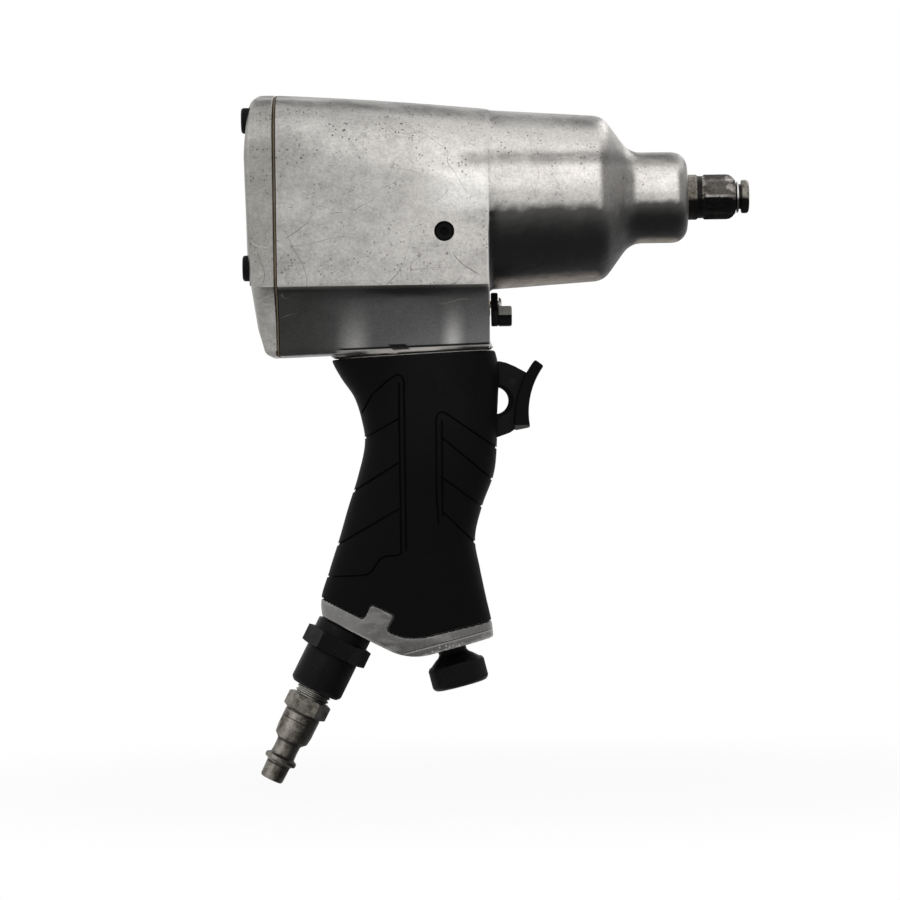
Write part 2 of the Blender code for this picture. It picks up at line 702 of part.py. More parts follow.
def handle_loft(name, top, inset, finish=None, tilt=0.0):
    lower = [station[0] for station in HANDLE_STATIONS if station[0] < top - OVERLAP]
    rings = [handle_ring(top, inset, tilt)] + [handle_ring(height, inset) for height in lower]
    return loft(name, rings, finish)


def flange_outline(grow):
    """Side outline of the V-shaped flange with its tab, grown by a clearance on the rubber's side."""
    up_rear = FLANGE_REAR_THICKNESS + grow
    up_front = FLANGE_FRONT_THICKNESS + grow
    rear = VERTEX - INLET_SIDE * FLANGE_REACH
    front = VERTEX + KNOB_SIDE * FLANGE_REACH
    tab_in = VERTEX - INLET_SIDE * (TAB_FROM_VERTEX - TAB_WIDTH / 2 - grow)
    tab_out = VERTEX - INLET_SIDE * (TAB_FROM_VERTEX + TAB_WIDTH / 2 + grow)
    lean = (INLET_TILT - KNOB_TILT) / 2
    bend = (INLET_TILT + KNOB_TILT) / 2
    inner = VERTEX + Vector((sin(lean), 0, cos(lean))) * (max(up_rear, up_front) / cos(bend))
    points = [
        rear, *fillet(rear, VERTEX, front, FLANGE_VERTEX_RADIUS),
        front, front + KNOB_UP * up_front, inner,
        tab_in + INLET_UP * up_rear, tab_in + INLET_UP * (up_rear + TAB_HEIGHT),
        tab_out + INLET_UP * (up_rear + TAB_HEIGHT), tab_out + INLET_UP * up_rear,
        rear + INLET_UP * up_rear,
    ]
    return [(p.x, p.z) for p in points]


def below_flange():
    """Side outline of all that lies under the two undersides."""
    drop = Vector((0, 0, -FLANGE_REACH))
    rear = VERTEX - INLET_SIDE * FLANGE_REACH
    front = VERTEX + KNOB_SIDE * FLANGE_REACH
    return [(p.x, p.z) for p in (rear, VERTEX, front, front + drop, rear + drop)]


def inlet_at(height, sideways=0.0):
    """A point up the inlet axis from the flange's underside."""
    return INLET_ORIGIN + INLET_UP * height + INLET_SIDE * sideways


# ================================================================ housing
def barrel_profile():
    """Nose, concave fillet, shoulder and drafted barrel, front to rear."""
    nose_rear = NOSE_FACE - NOSE_LENGTH
    edge_centre = (NOSE_RADIUS - NOSE_EDGE_RADIUS, NOSE_FACE - NOSE_EDGE_RADIUS)
    edge = arc(edge_centre, NOSE_EDGE_RADIUS, pi / 2, 0, 3)
    fillet = [
        (NOSE_RADIUS + NOSE_FILLET_RADIUS * (1 - cos(a)), nose_rear - NOSE_FILLET_RADIUS * sin(a))
        for a in arc_angles(0, SHOULDER_SLOPE, 3)
    ]
    rise = BARREL_FRONT_RADIUS - SHOULDER_RADIUS * (1 - cos(SHOULDER_SLOPE)) - fillet[-1][0]
    shoulder_end = fillet[-1][1] - rise / tan(SHOULDER_SLOPE) - SHOULDER_RADIUS * sin(SHOULDER_SLOPE)
    shoulder = [
        (BARREL_FRONT_RADIUS - SHOULDER_RADIUS * (1 - cos(a)), shoulder_end + SHOULDER_RADIUS * sin(a))
        for a in arc_angles(SHOULDER_SLOPE, 0, 3)
    ]
    rear = BODY_FRONT - BARREL_LAP
    return [(0, NOSE_FACE)] + edge + fillet + shoulder + [(BARREL_REAR_RADIUS, rear), (0, rear)]


def body_block(name, front, rear, finish=None):
    stations = [front + (rear - front) * i / 3 for i in range(4)]
    return loft(name, [[(x, y, z) for y, z in body_outline(x)] for x in stations], finish)


def housing_bore():
    """Nose bore, hammer chamber and motor bore in one turned cutter."""
    bushing = ANVIL_JOURNAL_RADIUS + GAP + BUSHING_WALL + GAP
    chamber_front = BUSHING_REAR - GAP / 2
    return turned("housing_bore", [
        (0, NOSE_FACE + OVERLAP), (ANVIL_JOURNAL_RADIUS + 2 * GAP, NOSE_FACE + OVERLAP),
        (ANVIL_JOURNAL_RADIUS + 2 * GAP, BUSHING_FRONT + GAP), (bushing, BUSHING_FRONT + GAP),
        (bushing, chamber_front), (HAMMER_BORE_RADIUS, chamber_front - 0.003),
        (HAMMER_BORE_RADIUS, MOTOR_SHOULDER), (MOTOR_BORE_RADIUS, MOTOR_SHOULDER),
        (MOTOR_BORE_RADIUS, BODY_REAR - OVERLAP), (0, BODY_REAR - OVERLAP),
    ], steps=FINE)


def inlet_bore():
    seat_top = SEAT_HEIGHT + SEAT_THICKNESS
    chamber_top = SEAT_HEIGHT - GAP + VALVE_STEM_LENGTH + VALVE_HEADROOM
    return turned("inlet_bore", [
        (0, chamber_top), (VALVE_CHAMBER_RADIUS, chamber_top), (VALVE_CHAMBER_RADIUS, seat_top + GAP),
        (INLET_BORE_RADIUS, seat_top + GAP), (INLET_BORE_RADIUS, -OVERLAP), (0, -OVERLAP),
    ], INLET_ORIGIN, INLET_FRAME, steps=SMALL)


def screw_places():
    for end, (inward, height) in (("top", SCREW_TOP), ("bottom", SCREW_BOTTOM)):
        for hand, sign in (("left", 1), ("right", -1)):
            yield f"{end}_{hand}", (0, sign * (BODY_HALF_WIDTH - inward), height)


def trigger_slot(name, half, reach):
    """The pocket that the trigger's web slides in."""
    front = BODY_FRONT + TRIGGER_SLOT_REACH
    return box(name, (reach, -half, TRIGGER_FOOT - GAP), (front, half, TRIGGER_TOP + GAP))


def make_housing():
    housing = turned("housing", barrel_profile(), finish="cast_aluminium", steps=FINE)
    block = rounded(body_block("body_block", BODY_FRONT, BODY_REAR), 0.0010, 1, 60)
    core = handle_loft("handle_core", HANDLE_TOP, GRIP_WALL + GAP)
    flange = handle_loft("flange_form", FLANGE_FORM_TOP, 0.0)
    boolean(flange, through("flange_side", flange_outline(0)), "INTERSECT")
    cut(core, through("core_foot", below_flange(), INLET_UP * CORE_FOOT_RISE))
    neck = loft("neck", [
        handle_ring(HANDLE_TOP, NECK_TOP_INSET),
        handle_ring(GRIP_TOP_REAR + GAP, NECK_INSET, GRIP_TOP_FRONT - GRIP_TOP_REAR),
    ])
    join(housing, block, neck, core, flange)
    cut(housing, housing_bore(), inlet_bore())
    slot_rear = TRIGGER_REAR - TRIGGER_TRAVEL - GAP
    cut(housing, trigger_slot("trigger_pocket", TRIGGER_WEB / 2 + GAP, slot_rear))
    cut(housing, cylinder(
        "trigger_rod_hole", TRIGGER_ROD_RADIUS + GAP, stem_at_rod(), slot_rear + OVERLAP,
        (0, 0, TRIGGER_ROD_HEIGHT), steps=SMALL,
    ))
    pin_half = TRIGGER_PIN_LENGTH / 2 + GAP
    cut(housing, cylinder(
        "trigger_pin_hole", TRIGGER_PIN_RADIUS + GAP, -pin_half, pin_half, trigger_pin_place(),
        ALONG_Y, steps=TINY,
    ))
    for name, spot in screw_places():
        cut(housing, cylinder(
            f"screw_hole_{name}", SCREW_SHANK_RADIUS + GAP,
            SCREW_HEAD_SEAT, SCREW_HEAD_SEAT + SCREW_LENGTH + OVERLAP, spot, steps=SMALL,
        ))
    cut(housing, cylinder(
        "reverse_bore", REVERSE_RADIUS + GAP, BODY_FRONT - REVERSE_LENGTH - GAP, BODY_FRONT + OVERLAP,
        (0, 0, REVERSE_HEIGHT), steps=SMALL,
    ))
    cut(housing, cylinder(
        "detent_hole", DETENT_BALL_RADIUS + GAP, -detent_floor(), 0,
        (BODY_FRONT - DETENT_FROM_FACE, 0, REVERSE_HEIGHT), UPRIGHT, steps=TINY,
    ))
    cut(housing, cylinder(
        "oil_port", OIL_PORT_RADIUS, HAMMER_BORE_RADIUS - OIL_PORT_REACH, BODY_HALF_WIDTH + OVERLAP,
        (OIL_PORT_AT[0], 0, OIL_PORT_AT[1]), ALONG_Y, steps=SMALL,
    ))
    cut(housing, cylinder(
        "regulator_bore", REGULATOR_STEM_RADIUS + GAP, -OVERLAP, REGULATOR_STEM_LENGTH + GAP,
        KNOB_ORIGIN, KNOB_FRAME, steps=SMALL,
    ))
    cut(housing, cylinder(
        "muffler_pocket", MUFFLER_RADIUS + GAP, -OVERLAP, MUFFLER_LENGTH + GAP,
        VERTEX + KNOB_SIDE * MUFFLER_FROM_VERTEX, KNOB_FRAME, steps=SMALL,
    ))
    return housing


def make_cover():
    """A domed cap on the body's outline, with a pocket over the rear bearing and four counterbores."""
    outline = body_outline(BODY_REAR)
    middle = (0, (BODY_TOP_REAR + KEEL_BOTTOM_REAR) / 2 + COVER_DOME_RISE)
    rings = [[(x, y, z) for y, z in outline] for x in (COVER_FRONT, COVER_RIM)]
    for inset in COVER_DOME_INSETS:
        lift = COVER_DOME_HEIGHT * (1 - (1 - inset / COVER_DOME_INSETS[-1]) ** 2)
        rings.append([(COVER_RIM - lift, y, z) for y, z in grown(outline, middle, 1 - inset)])
    cover = loft("rear_cover", rings, "cast_aluminium")
    pocket_floor = COVER_FRONT - COVER_POCKET_DEPTH
    cut(cover, cylinder("cover_pocket", COVER_POCKET_RADIUS, pocket_floor, COVER_FRONT + OVERLAP))
    for name, spot in screw_places():
        cut(cover, turned(f"cover_hole_{name}", [
            (0, COVER_FRONT + OVERLAP), (SCREW_SHANK_RADIUS + GAP, COVER_FRONT + OVERLAP),
            (SCREW_SHANK_RADIUS + GAP, COUNTERBORE_FLOOR), (SCREW_HEAD_RADIUS + GAP, COUNTERBORE_FLOOR),
            (SCREW_HEAD_RADIUS + GAP, COVER_BACK - OVERLAP), (0, COVER_BACK - OVERLAP),
        ], spot, steps=SMALL))
    return cover


def make_gasket():
    gasket = prism(
        "rear_gasket", body_outline(BODY_REAR), GASKET_FRONT - GASKET_THICKNESS, GASKET_FRONT,
        finish="gasket_paper",
    )
    low, high = GASKET_FRONT - OVERLAP, GASKET_FRONT + OVERLAP
    cut(gasket, cylinder("gasket_bore", COVER_POCKET_RADIUS, low, high))
    for name, spot in screw_places():
        hole = cylinder(f"gasket_hole_{name}", SCREW_SHANK_RADIUS + GAP, low, high, spot, steps=SMALL)
        cut(gasket, hole)


def make_cover_screws():
    for name, spot in screw_places():
        head = SCREW_HEAD_SEAT - SCREW_HEAD_HEIGHT
        screw = turned(f"cover_screw_{name}", [
            (0, SCREW_HEAD_SEAT + SCREW_LENGTH), (SCREW_SHANK_RADIUS, SCREW_HEAD_SEAT + SCREW_LENGTH),
            (SCREW_SHANK_RADIUS, SCREW_HEAD_SEAT), (SCREW_HEAD_RADIUS, SCREW_HEAD_SEAT),
            (SCREW_HEAD_RADIUS, head + EDGE), (SCREW_HEAD_RADIUS - EDGE, head), (0, head),
        ], spot, finish="black_steel", steps=SMALL)
        socket_floor = head + SCREW_SOCKET_DEPTH
        cut(screw, prism(
            f"screw_socket_{name}", hexagon(SCREW_SOCKET), head - OVERLAP, socket_floor, spot,
        ))
        ring_section(
            f"lock_washer_{name}", SCREW_SHANK_RADIUS + GAP, SCREW_HEAD_RADIUS - WASHER_INSET,
            WASHER_REAR, WASHER_REAR + WASHER_THICKNESS, spot, "black_steel",
        )


# ================================================================ air motor
def dowel_place():
    return (0, 0, DOWEL_PITCH_RADIUS)


def dowel_hole(name, low, high):
    return cylinder(name, DOWEL_RADIUS + GAP, low, high, dowel_place(), steps=TINY)


def end_plate(name, low, high, hole, pocket_radius, pocket_low, pocket_high):
    plate = turned(name, [
        (hole, high), (MOTOR_BORE_RADIUS - GAP, high), (MOTOR_BORE_RADIUS - GAP, low), (hole, low),
    ], finish="worn_steel", ring=True)
    cut(plate, cylinder(f"{name}_pocket", pocket_radius, pocket_low, pocket_high))
    cut(plate, dowel_hole(f"{name}_dowel_hole", low - OVERLAP, high + OVERLAP))


def bearing(name, bore, outside, low, high):
    """A shielded ball bearing as one ring, its shields set back between the races."""
    inner, outer = bore / 2 + GAP, outside / 2
    land = (outer - inner) * 0.22
    turned(name, [
        (inner, high), (inner + land, high), (inner + land, high - SHIELD_RECESS),
        (outer - land, high - SHIELD_RECESS), (outer - land, high), (outer, high),
        (outer, low), (outer - land, low), (outer - land, low + SHIELD_RECESS),
        (inner + land, low + SHIELD_RECESS), (inner + land, low), (inner, low),
    ], finish="bearing_steel", steps=SMALL, ring=True)


def make_motor():
    end_plate(
        "rear_end_plate", REAR_PLATE_REAR, REAR_PLATE_FRONT, REAR_BEARING_BORE / 2 + PLATE_SHAFT_ROOM,
        REAR_BEARING_OUTSIDE / 2 + GAP, REAR_PLATE_REAR - OVERLAP, REAR_PLATE_REAR + REAR_BEARING_WIDTH + GAP,
    )
    bearing(
        "rear_bearing", REAR_BEARING_BORE, REAR_BEARING_OUTSIDE,
        REAR_PLATE_REAR, REAR_PLATE_REAR + REAR_BEARING_WIDTH,
    )
    pocket_floor = FRONT_PLATE_FRONT - FRONT_BEARING_WIDTH - GAP
    end_plate(
        "front_end_plate", FRONT_PLATE_REAR, FRONT_PLATE_FRONT, FRONT_BEARING_BORE / 2 + PLATE_SHAFT_ROOM,
        FRONT_BEARING_OUTSIDE / 2 + GAP, pocket_floor, FRONT_PLATE_FRONT + OVERLAP,
    )
    bearing(
        "front_bearing", FRONT_BEARING_BORE, FRONT_BEARING_OUTSIDE,
        FRONT_PLATE_FRONT - FRONT_BEARING_WIDTH, FRONT_PLATE_FRONT,
    )
    sleeve = cylinder(
        "motor_cylinder", MOTOR_BORE_RADIUS - GAP, CYLINDER_REAR, CYLINDER_FRONT,
        finish="worn_steel", steps=FINE,
    )
    cut(sleeve, cylinder(
        "motor_cylinder_bore", CYLINDER_BORE_RADIUS, CYLINDER_REAR - OVERLAP, CYLINDER_FRONT + OVERLAP,
        (0, 0, -CYLINDER_OFFSET), steps=FINE,
    ))
    pitch = CYLINDER_LENGTH / (CYLINDER_PORTS + 1)
    for i in range(CYLINDER_PORTS):
        x = CYLINDER_REAR + pitch * (i + 1)
        cut(sleeve, box(
            f"exhaust_port_{i + 1}",
            (x - PORT_WIDTH / 2, 0, -PORT_HEIGHT / 2),
            (x + PORT_WIDTH / 2, MOTOR_BORE_RADIUS, PORT_HEIGHT / 2),
        ))
    cut(sleeve, dowel_hole("motor_cylinder_dowel_hole", CYLINDER_REAR - OVERLAP, CYLINDER_FRONT + OVERLAP))
    cylinder(
        "cylinder_dowel", DOWEL_RADIUS, REAR_PLATE_FRONT - DOWEL_SEAT, FRONT_PLATE_REAR + DOWEL_SEAT,
        dowel_place(), finish="bright_steel", steps=TINY,
    )
    make_rotor()


def make_rotor():
    """Slotted rotor with its bearing journals, and the splined nose that drives the hammer cage."""
    rear, front = CYLINDER_REAR + GAP, CYLINDER_FRONT - GAP
    rear_journal = REAR_BEARING_BORE / 2
    front_journal = FRONT_BEARING_BORE / 2
    spline_rear = SPLINE_FRONT - SPLINE_LENGTH
    rotor = turned("rotor", [
        (0, spline_rear), (front_journal, spline_rear), (front_journal, front), (ROTOR_RADIUS, front),
        (ROTOR_RADIUS, rear), (rear_journal, rear), (rear_journal, REAR_PLATE_REAR), (0, REAR_PLATE_REAR),
    ], finish="worn_steel")
    join(rotor, prism(
        "rotor_spline", toothed(SPLINE_RADIUS, SPLINE_TOOTH, SPLINE_TEETH), spline_rear - LAP, SPLINE_FRONT,
    ))
    slot_half = VANE_THICKNESS / 2 + GAP / 2
    vane_foot = ROTOR_RADIUS - VANE_HEIGHT
    for i in range(VANE_COUNT):
        turn = Matrix.Rotation(2 * pi * i / VANE_COUNT, 3, "X")
        slot = prism(f"vane_slot_{i + 1}", [
            (-slot_half, vane_foot - 2 * GAP), (slot_half, vane_foot - 2 * GAP),
            (slot_half, ROTOR_RADIUS + OVERLAP), (-slot_half, ROTOR_RADIUS + OVERLAP),
        ], rear - OVERLAP, front + OVERLAP, frame=turn @ ALONG_X)
        cut(rotor, slot)
        prism(f"rotor_vane_{i + 1}", [
            (-VANE_THICKNESS / 2, vane_foot - GAP), (VANE_THICKNESS / 2, vane_foot - GAP),
            (VANE_THICKNESS / 2, ROTOR_RADIUS - GAP), (-VANE_THICKNESS / 2, ROTOR_RADIUS - GAP),
        ], rear, front, frame=turn @ ALONG_X, finish="phenolic")


# ================================================================ clutch and anvil
def make_cage():
    """Two plates joined by webs outside the hammer pins, with the spline's hub behind."""
    front_plate = CAGE_FRONT - CAGE_PLATE_THICKNESS
    rear_plate = CAGE_REAR_PLATE - CAGE_PLATE_THICKNESS
    cage = cylinder("hammer_cage", CAGE_RADIUS, front_plate, CAGE_FRONT, finish="worn_steel")
    pin_end = CAGE_FRONT - CAGE_PIN_SEAT
    half_web = CAGE_WEB_SPAN / 2
    join(cage, turned("cage_rear_plate", [
        (0, CAGE_REAR_PLATE), (CAGE_RADIUS, CAGE_REAR_PLATE), (CAGE_RADIUS, rear_plate),
        (CAGE_HUB_RADIUS, rear_plate), (CAGE_HUB_RADIUS, CAGE_REAR), (0, CAGE_REAR),
    ]))
    for name, side in (("left", 0), ("right", pi)):
        join(cage, prism(
            f"cage_web_{name}",
            sector(CAGE_WEB_INSIDE, CAGE_RADIUS - SHY, side - half_web, side + half_web, 4),
            rear_plate + LAP, CAGE_FRONT - LAP,
        ))
        spot = (0, HAMMER_PIN_PITCH * cos(side), 0)
        cut(cage, cylinder(
            f"cage_pin_hole_{name}", HAMMER_PIN_RADIUS + GAP, rear_plate - OVERLAP, pin_end,
            spot, steps=SMALL,
        ))
        cylinder(
            f"hammer_pin_{name}", HAMMER_PIN_RADIUS, rear_plate + GAP, pin_end - GAP, spot,
            finish="bright_steel", steps=SMALL,
        )
    cut(cage, cylinder("cage_bore", CAGE_BORE_RADIUS, front_plate - OVERLAP, CAGE_FRONT + OVERLAP))
    cut(cage, cylinder(
        "cage_pilot_bore", ANVIL_PILOT_RADIUS + GAP, SPLINE_FRONT + GAP, CAGE_REAR_PLATE + OVERLAP,
        steps=SMALL,
    ))
    cut(cage, prism(
        "cage_spline", toothed(SPLINE_RADIUS + GAP, SPLINE_TOOTH, SPLINE_TEETH), CAGE_REAR - OVERLAP,
        SPLINE_FRONT + 2 * GAP,
    ))


def jaw_angle(side):
    """Where the anvil's jaw stands: against the trailing flank of the hammer's ear."""
    slack = 2 * GAP / ANVIL_JAW_RADIUS
    return side + pi / 2 + (HAMMER_EAR_SPAN + ANVIL_JAW_SPAN) / 2 + slack


def hammer_bore_outline(side):
    """The hammer's bore: a circle with one ear standing in at right angles to the hammer's pin."""
    ear = side + pi / 2
    around = arc((0, 0), HAMMER_BORE, ear + HAMMER_EAR_SPAN / 2, ear + 2 * pi - HAMMER_EAR_SPAN / 2, 26)
    return around + arc((0, 0), HAMMER_EAR_RADIUS, ear - HAMMER_EAR_SPAN / 2, ear + HAMMER_EAR_SPAN / 2, 4)


def make_hammer(name, front, side):
    """A ring that rocks on the pin on its own side, and is notched to swing past the other pin."""
    pivot = Vector((front, HAMMER_PIN_PITCH * cos(side), 0))
    rear = front - HAMMER_LENGTH
    hammer = cylinder(
        name, HAMMER_RADIUS, rear - front, 0, (front, 0, 0), finish="worn_steel",
    )
    cut(hammer, prism(f"{name}_bore", hammer_bore_outline(side), rear - OVERLAP, front + OVERLAP))
    low, high = rear - OVERLAP, front + OVERLAP
    radius = HAMMER_PIN_RADIUS + GAP
    cut(hammer, cylinder(f"{name}_pivot_groove", radius, low, high, (0, pivot.y, 0), steps=SMALL))
    mouth = HAMMER_RADIUS + OVERLAP
    cut(hammer, span_box(
        f"{name}_pivot_mouth", (low, pivot.y, -radius), (high, mouth * cos(side), radius),
    ))
    pins_apart = 2 * HAMMER_PIN_PITCH
    radius += HAMMER_SWING_ROOM
    for step in range(3):
        lean = HAMMER_SWING * step / 2
        spot = (0, pivot.y - pins_apart * cos(lean) * cos(side), -pins_apart * sin(lean) * cos(side))
        cut(hammer, cylinder(f"{name}_swing_groove_{step + 1}", radius, low, high, spot, steps=SMALL))
    swing = pins_apart * sin(HAMMER_SWING)
    cut(hammer, span_box(
        f"{name}_swing_mouth",
        (low, -pivot.y, radius * cos(side)), (high, -mouth * cos(side), -(swing + radius) * cos(side)),
    ))
    hang_on(hammer, pivot, ALONG_X)


def make_anvil():
    """Square drive, journal and thrust collar in front, and two opposed jaws inside the hammers."""
    core_rear = CAGE_REAR_PLATE + GAP
    anvil = turned("anvil", [
        (0, 0), (DRIVE_COLLAR_RADIUS - DRIVE_TIP_CHAMFER, 0), (DRIVE_COLLAR_RADIUS, -DRIVE_TIP_CHAMFER),
        (DRIVE_COLLAR_RADIUS, RING_GROOVE), (RING_GROOVE_RADIUS, RING_GROOVE),
        (RING_GROOVE_RADIUS, DRIVE_BODY - LAP), (DRIVE_NECK_RADIUS - LAP, DRIVE_BODY - LAP),
        (DRIVE_NECK_RADIUS - LAP, DRIVE_NECK + LAP), (DRIVE_NECK_RADIUS, DRIVE_NECK + LAP),
        (DRIVE_NECK_RADIUS, ANVIL_JOURNAL), (ANVIL_JOURNAL_RADIUS - EDGE, ANVIL_JOURNAL),
        (ANVIL_JOURNAL_RADIUS, ANVIL_JOURNAL - EDGE), (ANVIL_JOURNAL_RADIUS, ANVIL_COLLAR),
        (ANVIL_COLLAR_RADIUS, ANVIL_COLLAR), (ANVIL_COLLAR_RADIUS, ANVIL_COLLAR - ANVIL_COLLAR_LENGTH),
        (ANVIL_CORE_RADIUS, ANVIL_COLLAR - ANVIL_COLLAR_LENGTH), (ANVIL_CORE_RADIUS, core_rear),
        (ANVIL_PILOT_RADIUS, core_rear), (ANVIL_PILOT_RADIUS, core_rear - ANVIL_PILOT_LENGTH),
        (0, core_rear - ANVIL_PILOT_LENGTH),
    ], finish="worn_steel")
    half = DRIVE_SQUARE / 2
    square = prism("drive_square", [(half, half), (-half, half), (-half, -half), (half, -half)],
                   DRIVE_NECK, DRIVE_BODY, frame=Matrix.Rotation(pi / 4, 3, "X") @ ALONG_X)
    turning = cylinder(
        "drive_square_turning", DRIVE_CORNER_RADIUS, DRIVE_NECK - OVERLAP, DRIVE_BODY + OVERLAP,
    )
    boolean(square, turning, "INTERSECT")
    join(anvil, square)
    for name, front, side in (("front", HAMMER_FRONT, 0), ("rear", HAMMER_REAR, pi)):
        start = jaw_angle(side) - ANVIL_JAW_SPAN / 2
        join(anvil, prism(
            f"{name}_jaw",
            sector(ANVIL_CORE_RADIUS - LAP, ANVIL_JAW_RADIUS, start, start + ANVIL_JAW_SPAN, 4),
            front - HAMMER_LENGTH, front,
        ))
    ring_middle = RING_GROOVE - RING_GROOVE_WIDTH / 2
    seal_radius = RING_GROOVE_RADIUS + GAP / 2 + SOCKET_SEAL_WIRE
    torus("socket_seal", seal_radius, SOCKET_SEAL_WIRE, (ring_middle, 0, 0), ALONG_X, "rubber", SMALL)
    prism(
        "socket_ring",
        sector(
            seal_radius + SOCKET_SEAL_WIRE + GAP / 2, DRIVE_COLLAR_RADIUS - SHY,
            pi / 2 + RING_OPENING / 2, 2.5 * pi - RING_OPENING / 2, SMALL,
        ),
        ring_middle - RETAINING_RING_WIRE, ring_middle + RETAINING_RING_WIRE, finish="bright_steel",
    )


def make_clutch():
    make_cage()
    make_hammer("front_hammer", HAMMER_FRONT, 0)
    make_hammer("rear_hammer", HAMMER_REAR, pi)
    make_anvil()
    inside = ANVIL_JOURNAL_RADIUS + GAP
    ring_section(
        "anvil_bushing", inside, inside + BUSHING_WALL, BUSHING_REAR, BUSHING_FRONT, (0, 0, 0),
        "bronze", ROUND,
    )
    ring_section(
        "thrust_washer", inside, ANVIL_COLLAR_RADIUS, THRUST_WASHER_FRONT - THRUST_WASHER_THICKNESS,
        THRUST_WASHER_FRONT, (0, 0, 0), "bronze", ROUND,
    )


# ================================================================ handle
def make_grip():
    """The rubber sleeve: the handle's outside less its core, the flange and the trigger's slot."""
    grip = handle_loft("handle_grip", GRIP_TOP_REAR, 0.0, "rubber", GRIP_TOP_FRONT - GRIP_TOP_REAR)
    cut(grip, handle_loft("grip_inside", HANDLE_TOP, GRIP_WALL))
    cut(grip, through("grip_foot", flange_outline(GAP)))
    cut(grip, through("grip_waste", below_flange(), INLET_UP * GRIP_FOOT_RISE))
    cut(grip, trigger_slot("grip_trigger_slot", TRIGGER_WEB / 2 + 2 * GAP, BODY_FRONT - GRIP_SLOT_DEPTH))
    return grip


def make_inlet():
    """Black inlet bushing screwed up into the flange, and the quarter-inch plug screwed into it."""
    collar_top = -GAP
    hex_top = -BUSHING_COLLAR_HEIGHT
    hex_foot = hex_top - BUSHING_HEX_HEIGHT
    sleeve_foot = hex_foot - BUSHING_SLEEVE_LENGTH
    thread_top = sleeve_foot + PLUG_THREAD_LENGTH - PLUG_THREAD_SHOWING
    shank = INLET_BORE_RADIUS - GAP
    bushing = turned("inlet_bushing", [
        (0, BUSHING_SHANK_LENGTH), (shank - EDGE, BUSHING_SHANK_LENGTH), (shank, BUSHING_SHANK_LENGTH - EDGE),
        (shank, collar_top), (BUSHING_COLLAR_RADIUS, collar_top), (BUSHING_COLLAR_RADIUS, hex_top - LAP),
        (BUSHING_SLEEVE_RADIUS, hex_top - LAP), (BUSHING_SLEEVE_RADIUS, sleeve_foot + BUSHING_SLEEVE_CHAMFER),
        (BUSHING_SLEEVE_RADIUS - BUSHING_SLEEVE_CHAMFER, sleeve_foot), (0, sleeve_foot),
    ], INLET_ORIGIN, INLET_FRAME, "black_steel")
    nut = prism("bushing_hex", hexagon(BUSHING_HEX, pi / 6), hex_foot, hex_top, INLET_ORIGIN, INLET_FRAME)
    join(bushing, nut)
    cut(bushing, turned("bushing_bore", [
        (0, BUSHING_SHANK_LENGTH + OVERLAP), (BUSHING_BORE_RADIUS, BUSHING_SHANK_LENGTH + OVERLAP),
        (BUSHING_BORE_RADIUS, thread_top + GAP), (PLUG_THREAD_RADIUS + GAP, thread_top + GAP),
        (PLUG_THREAD_RADIUS + GAP, sleeve_foot - OVERLAP), (0, sleeve_foot - OVERLAP),
    ], INLET_ORIGIN, INLET_FRAME, steps=SMALL))
    plug_hex_top = sleeve_foot - PLUG_THREAD_SHOWING
    plug_hex_foot = plug_hex_top - PLUG_HEX_HEIGHT
    body_foot = plug_hex_foot - PLUG_BODY_LENGTH
    neck_top = body_foot - PLUG_SHOULDER_LENGTH
    neck_foot = neck_top - PLUG_NECK_LENGTH
    ring_foot = neck_foot - PLUG_RING_LENGTH
    tip = ring_foot - PLUG_TIP_LENGTH
    plug = turned("inlet_plug", [
        (0, thread_top), (PLUG_THREAD_RADIUS - EDGE, thread_top), (PLUG_THREAD_RADIUS, thread_top - EDGE),
        (PLUG_THREAD_RADIUS, plug_hex_top - LAP), (PLUG_BODY_RADIUS, plug_hex_foot + LAP),
        (PLUG_BODY_RADIUS - PLUG_BODY_TAPER, body_foot), (PLUG_NECK_RADIUS, neck_top),
        (PLUG_NECK_RADIUS, neck_foot), (PLUG_RING_RADIUS - EDGE, neck_foot),
        (PLUG_RING_RADIUS, neck_foot - EDGE), (PLUG_RING_RADIUS, ring_foot + EDGE),
        (PLUG_RING_RADIUS - EDGE, ring_foot), (PLUG_TIP_RADIUS, ring_foot),
        (PLUG_TIP_RADIUS - PLUG_TIP_TAPER, tip), (0, tip),
    ], INLET_ORIGIN, INLET_FRAME, "worn_steel", SMALL + 2)
    join(plug, prism("plug_hex", hexagon(PLUG_HEX), plug_hex_foot, plug_hex_top, INLET_ORIGIN, INLET_FRAME))
    cut(plug, cylinder(
        "plug_bore", PLUG_BORE_RADIUS, tip - OVERLAP, thread_top + OVERLAP, INLET_ORIGIN,
        INLET_FRAME, steps=SMALL,
    ))
    screen_foot = BUSHING_SHANK_LENGTH + GAP
    screen_top = screen_foot + SCREEN_LENGTH
    inside = SCREEN_RADIUS - SCREEN_WALL
    turned("inlet_screen", [
        (0, screen_top), (SCREEN_RADIUS, screen_top), (SCREEN_RADIUS, screen_foot + SCREEN_RIM),
        (INLET_BORE_RADIUS - GAP, screen_foot + SCREEN_RIM), (INLET_BORE_RADIUS - GAP, screen_foot),
        (inside, screen_foot), (inside, screen_top - SCREEN_WALL), (0, screen_top - SCREEN_WALL),
    ], INLET_ORIGIN, INLET_FRAME, "brass", SMALL)


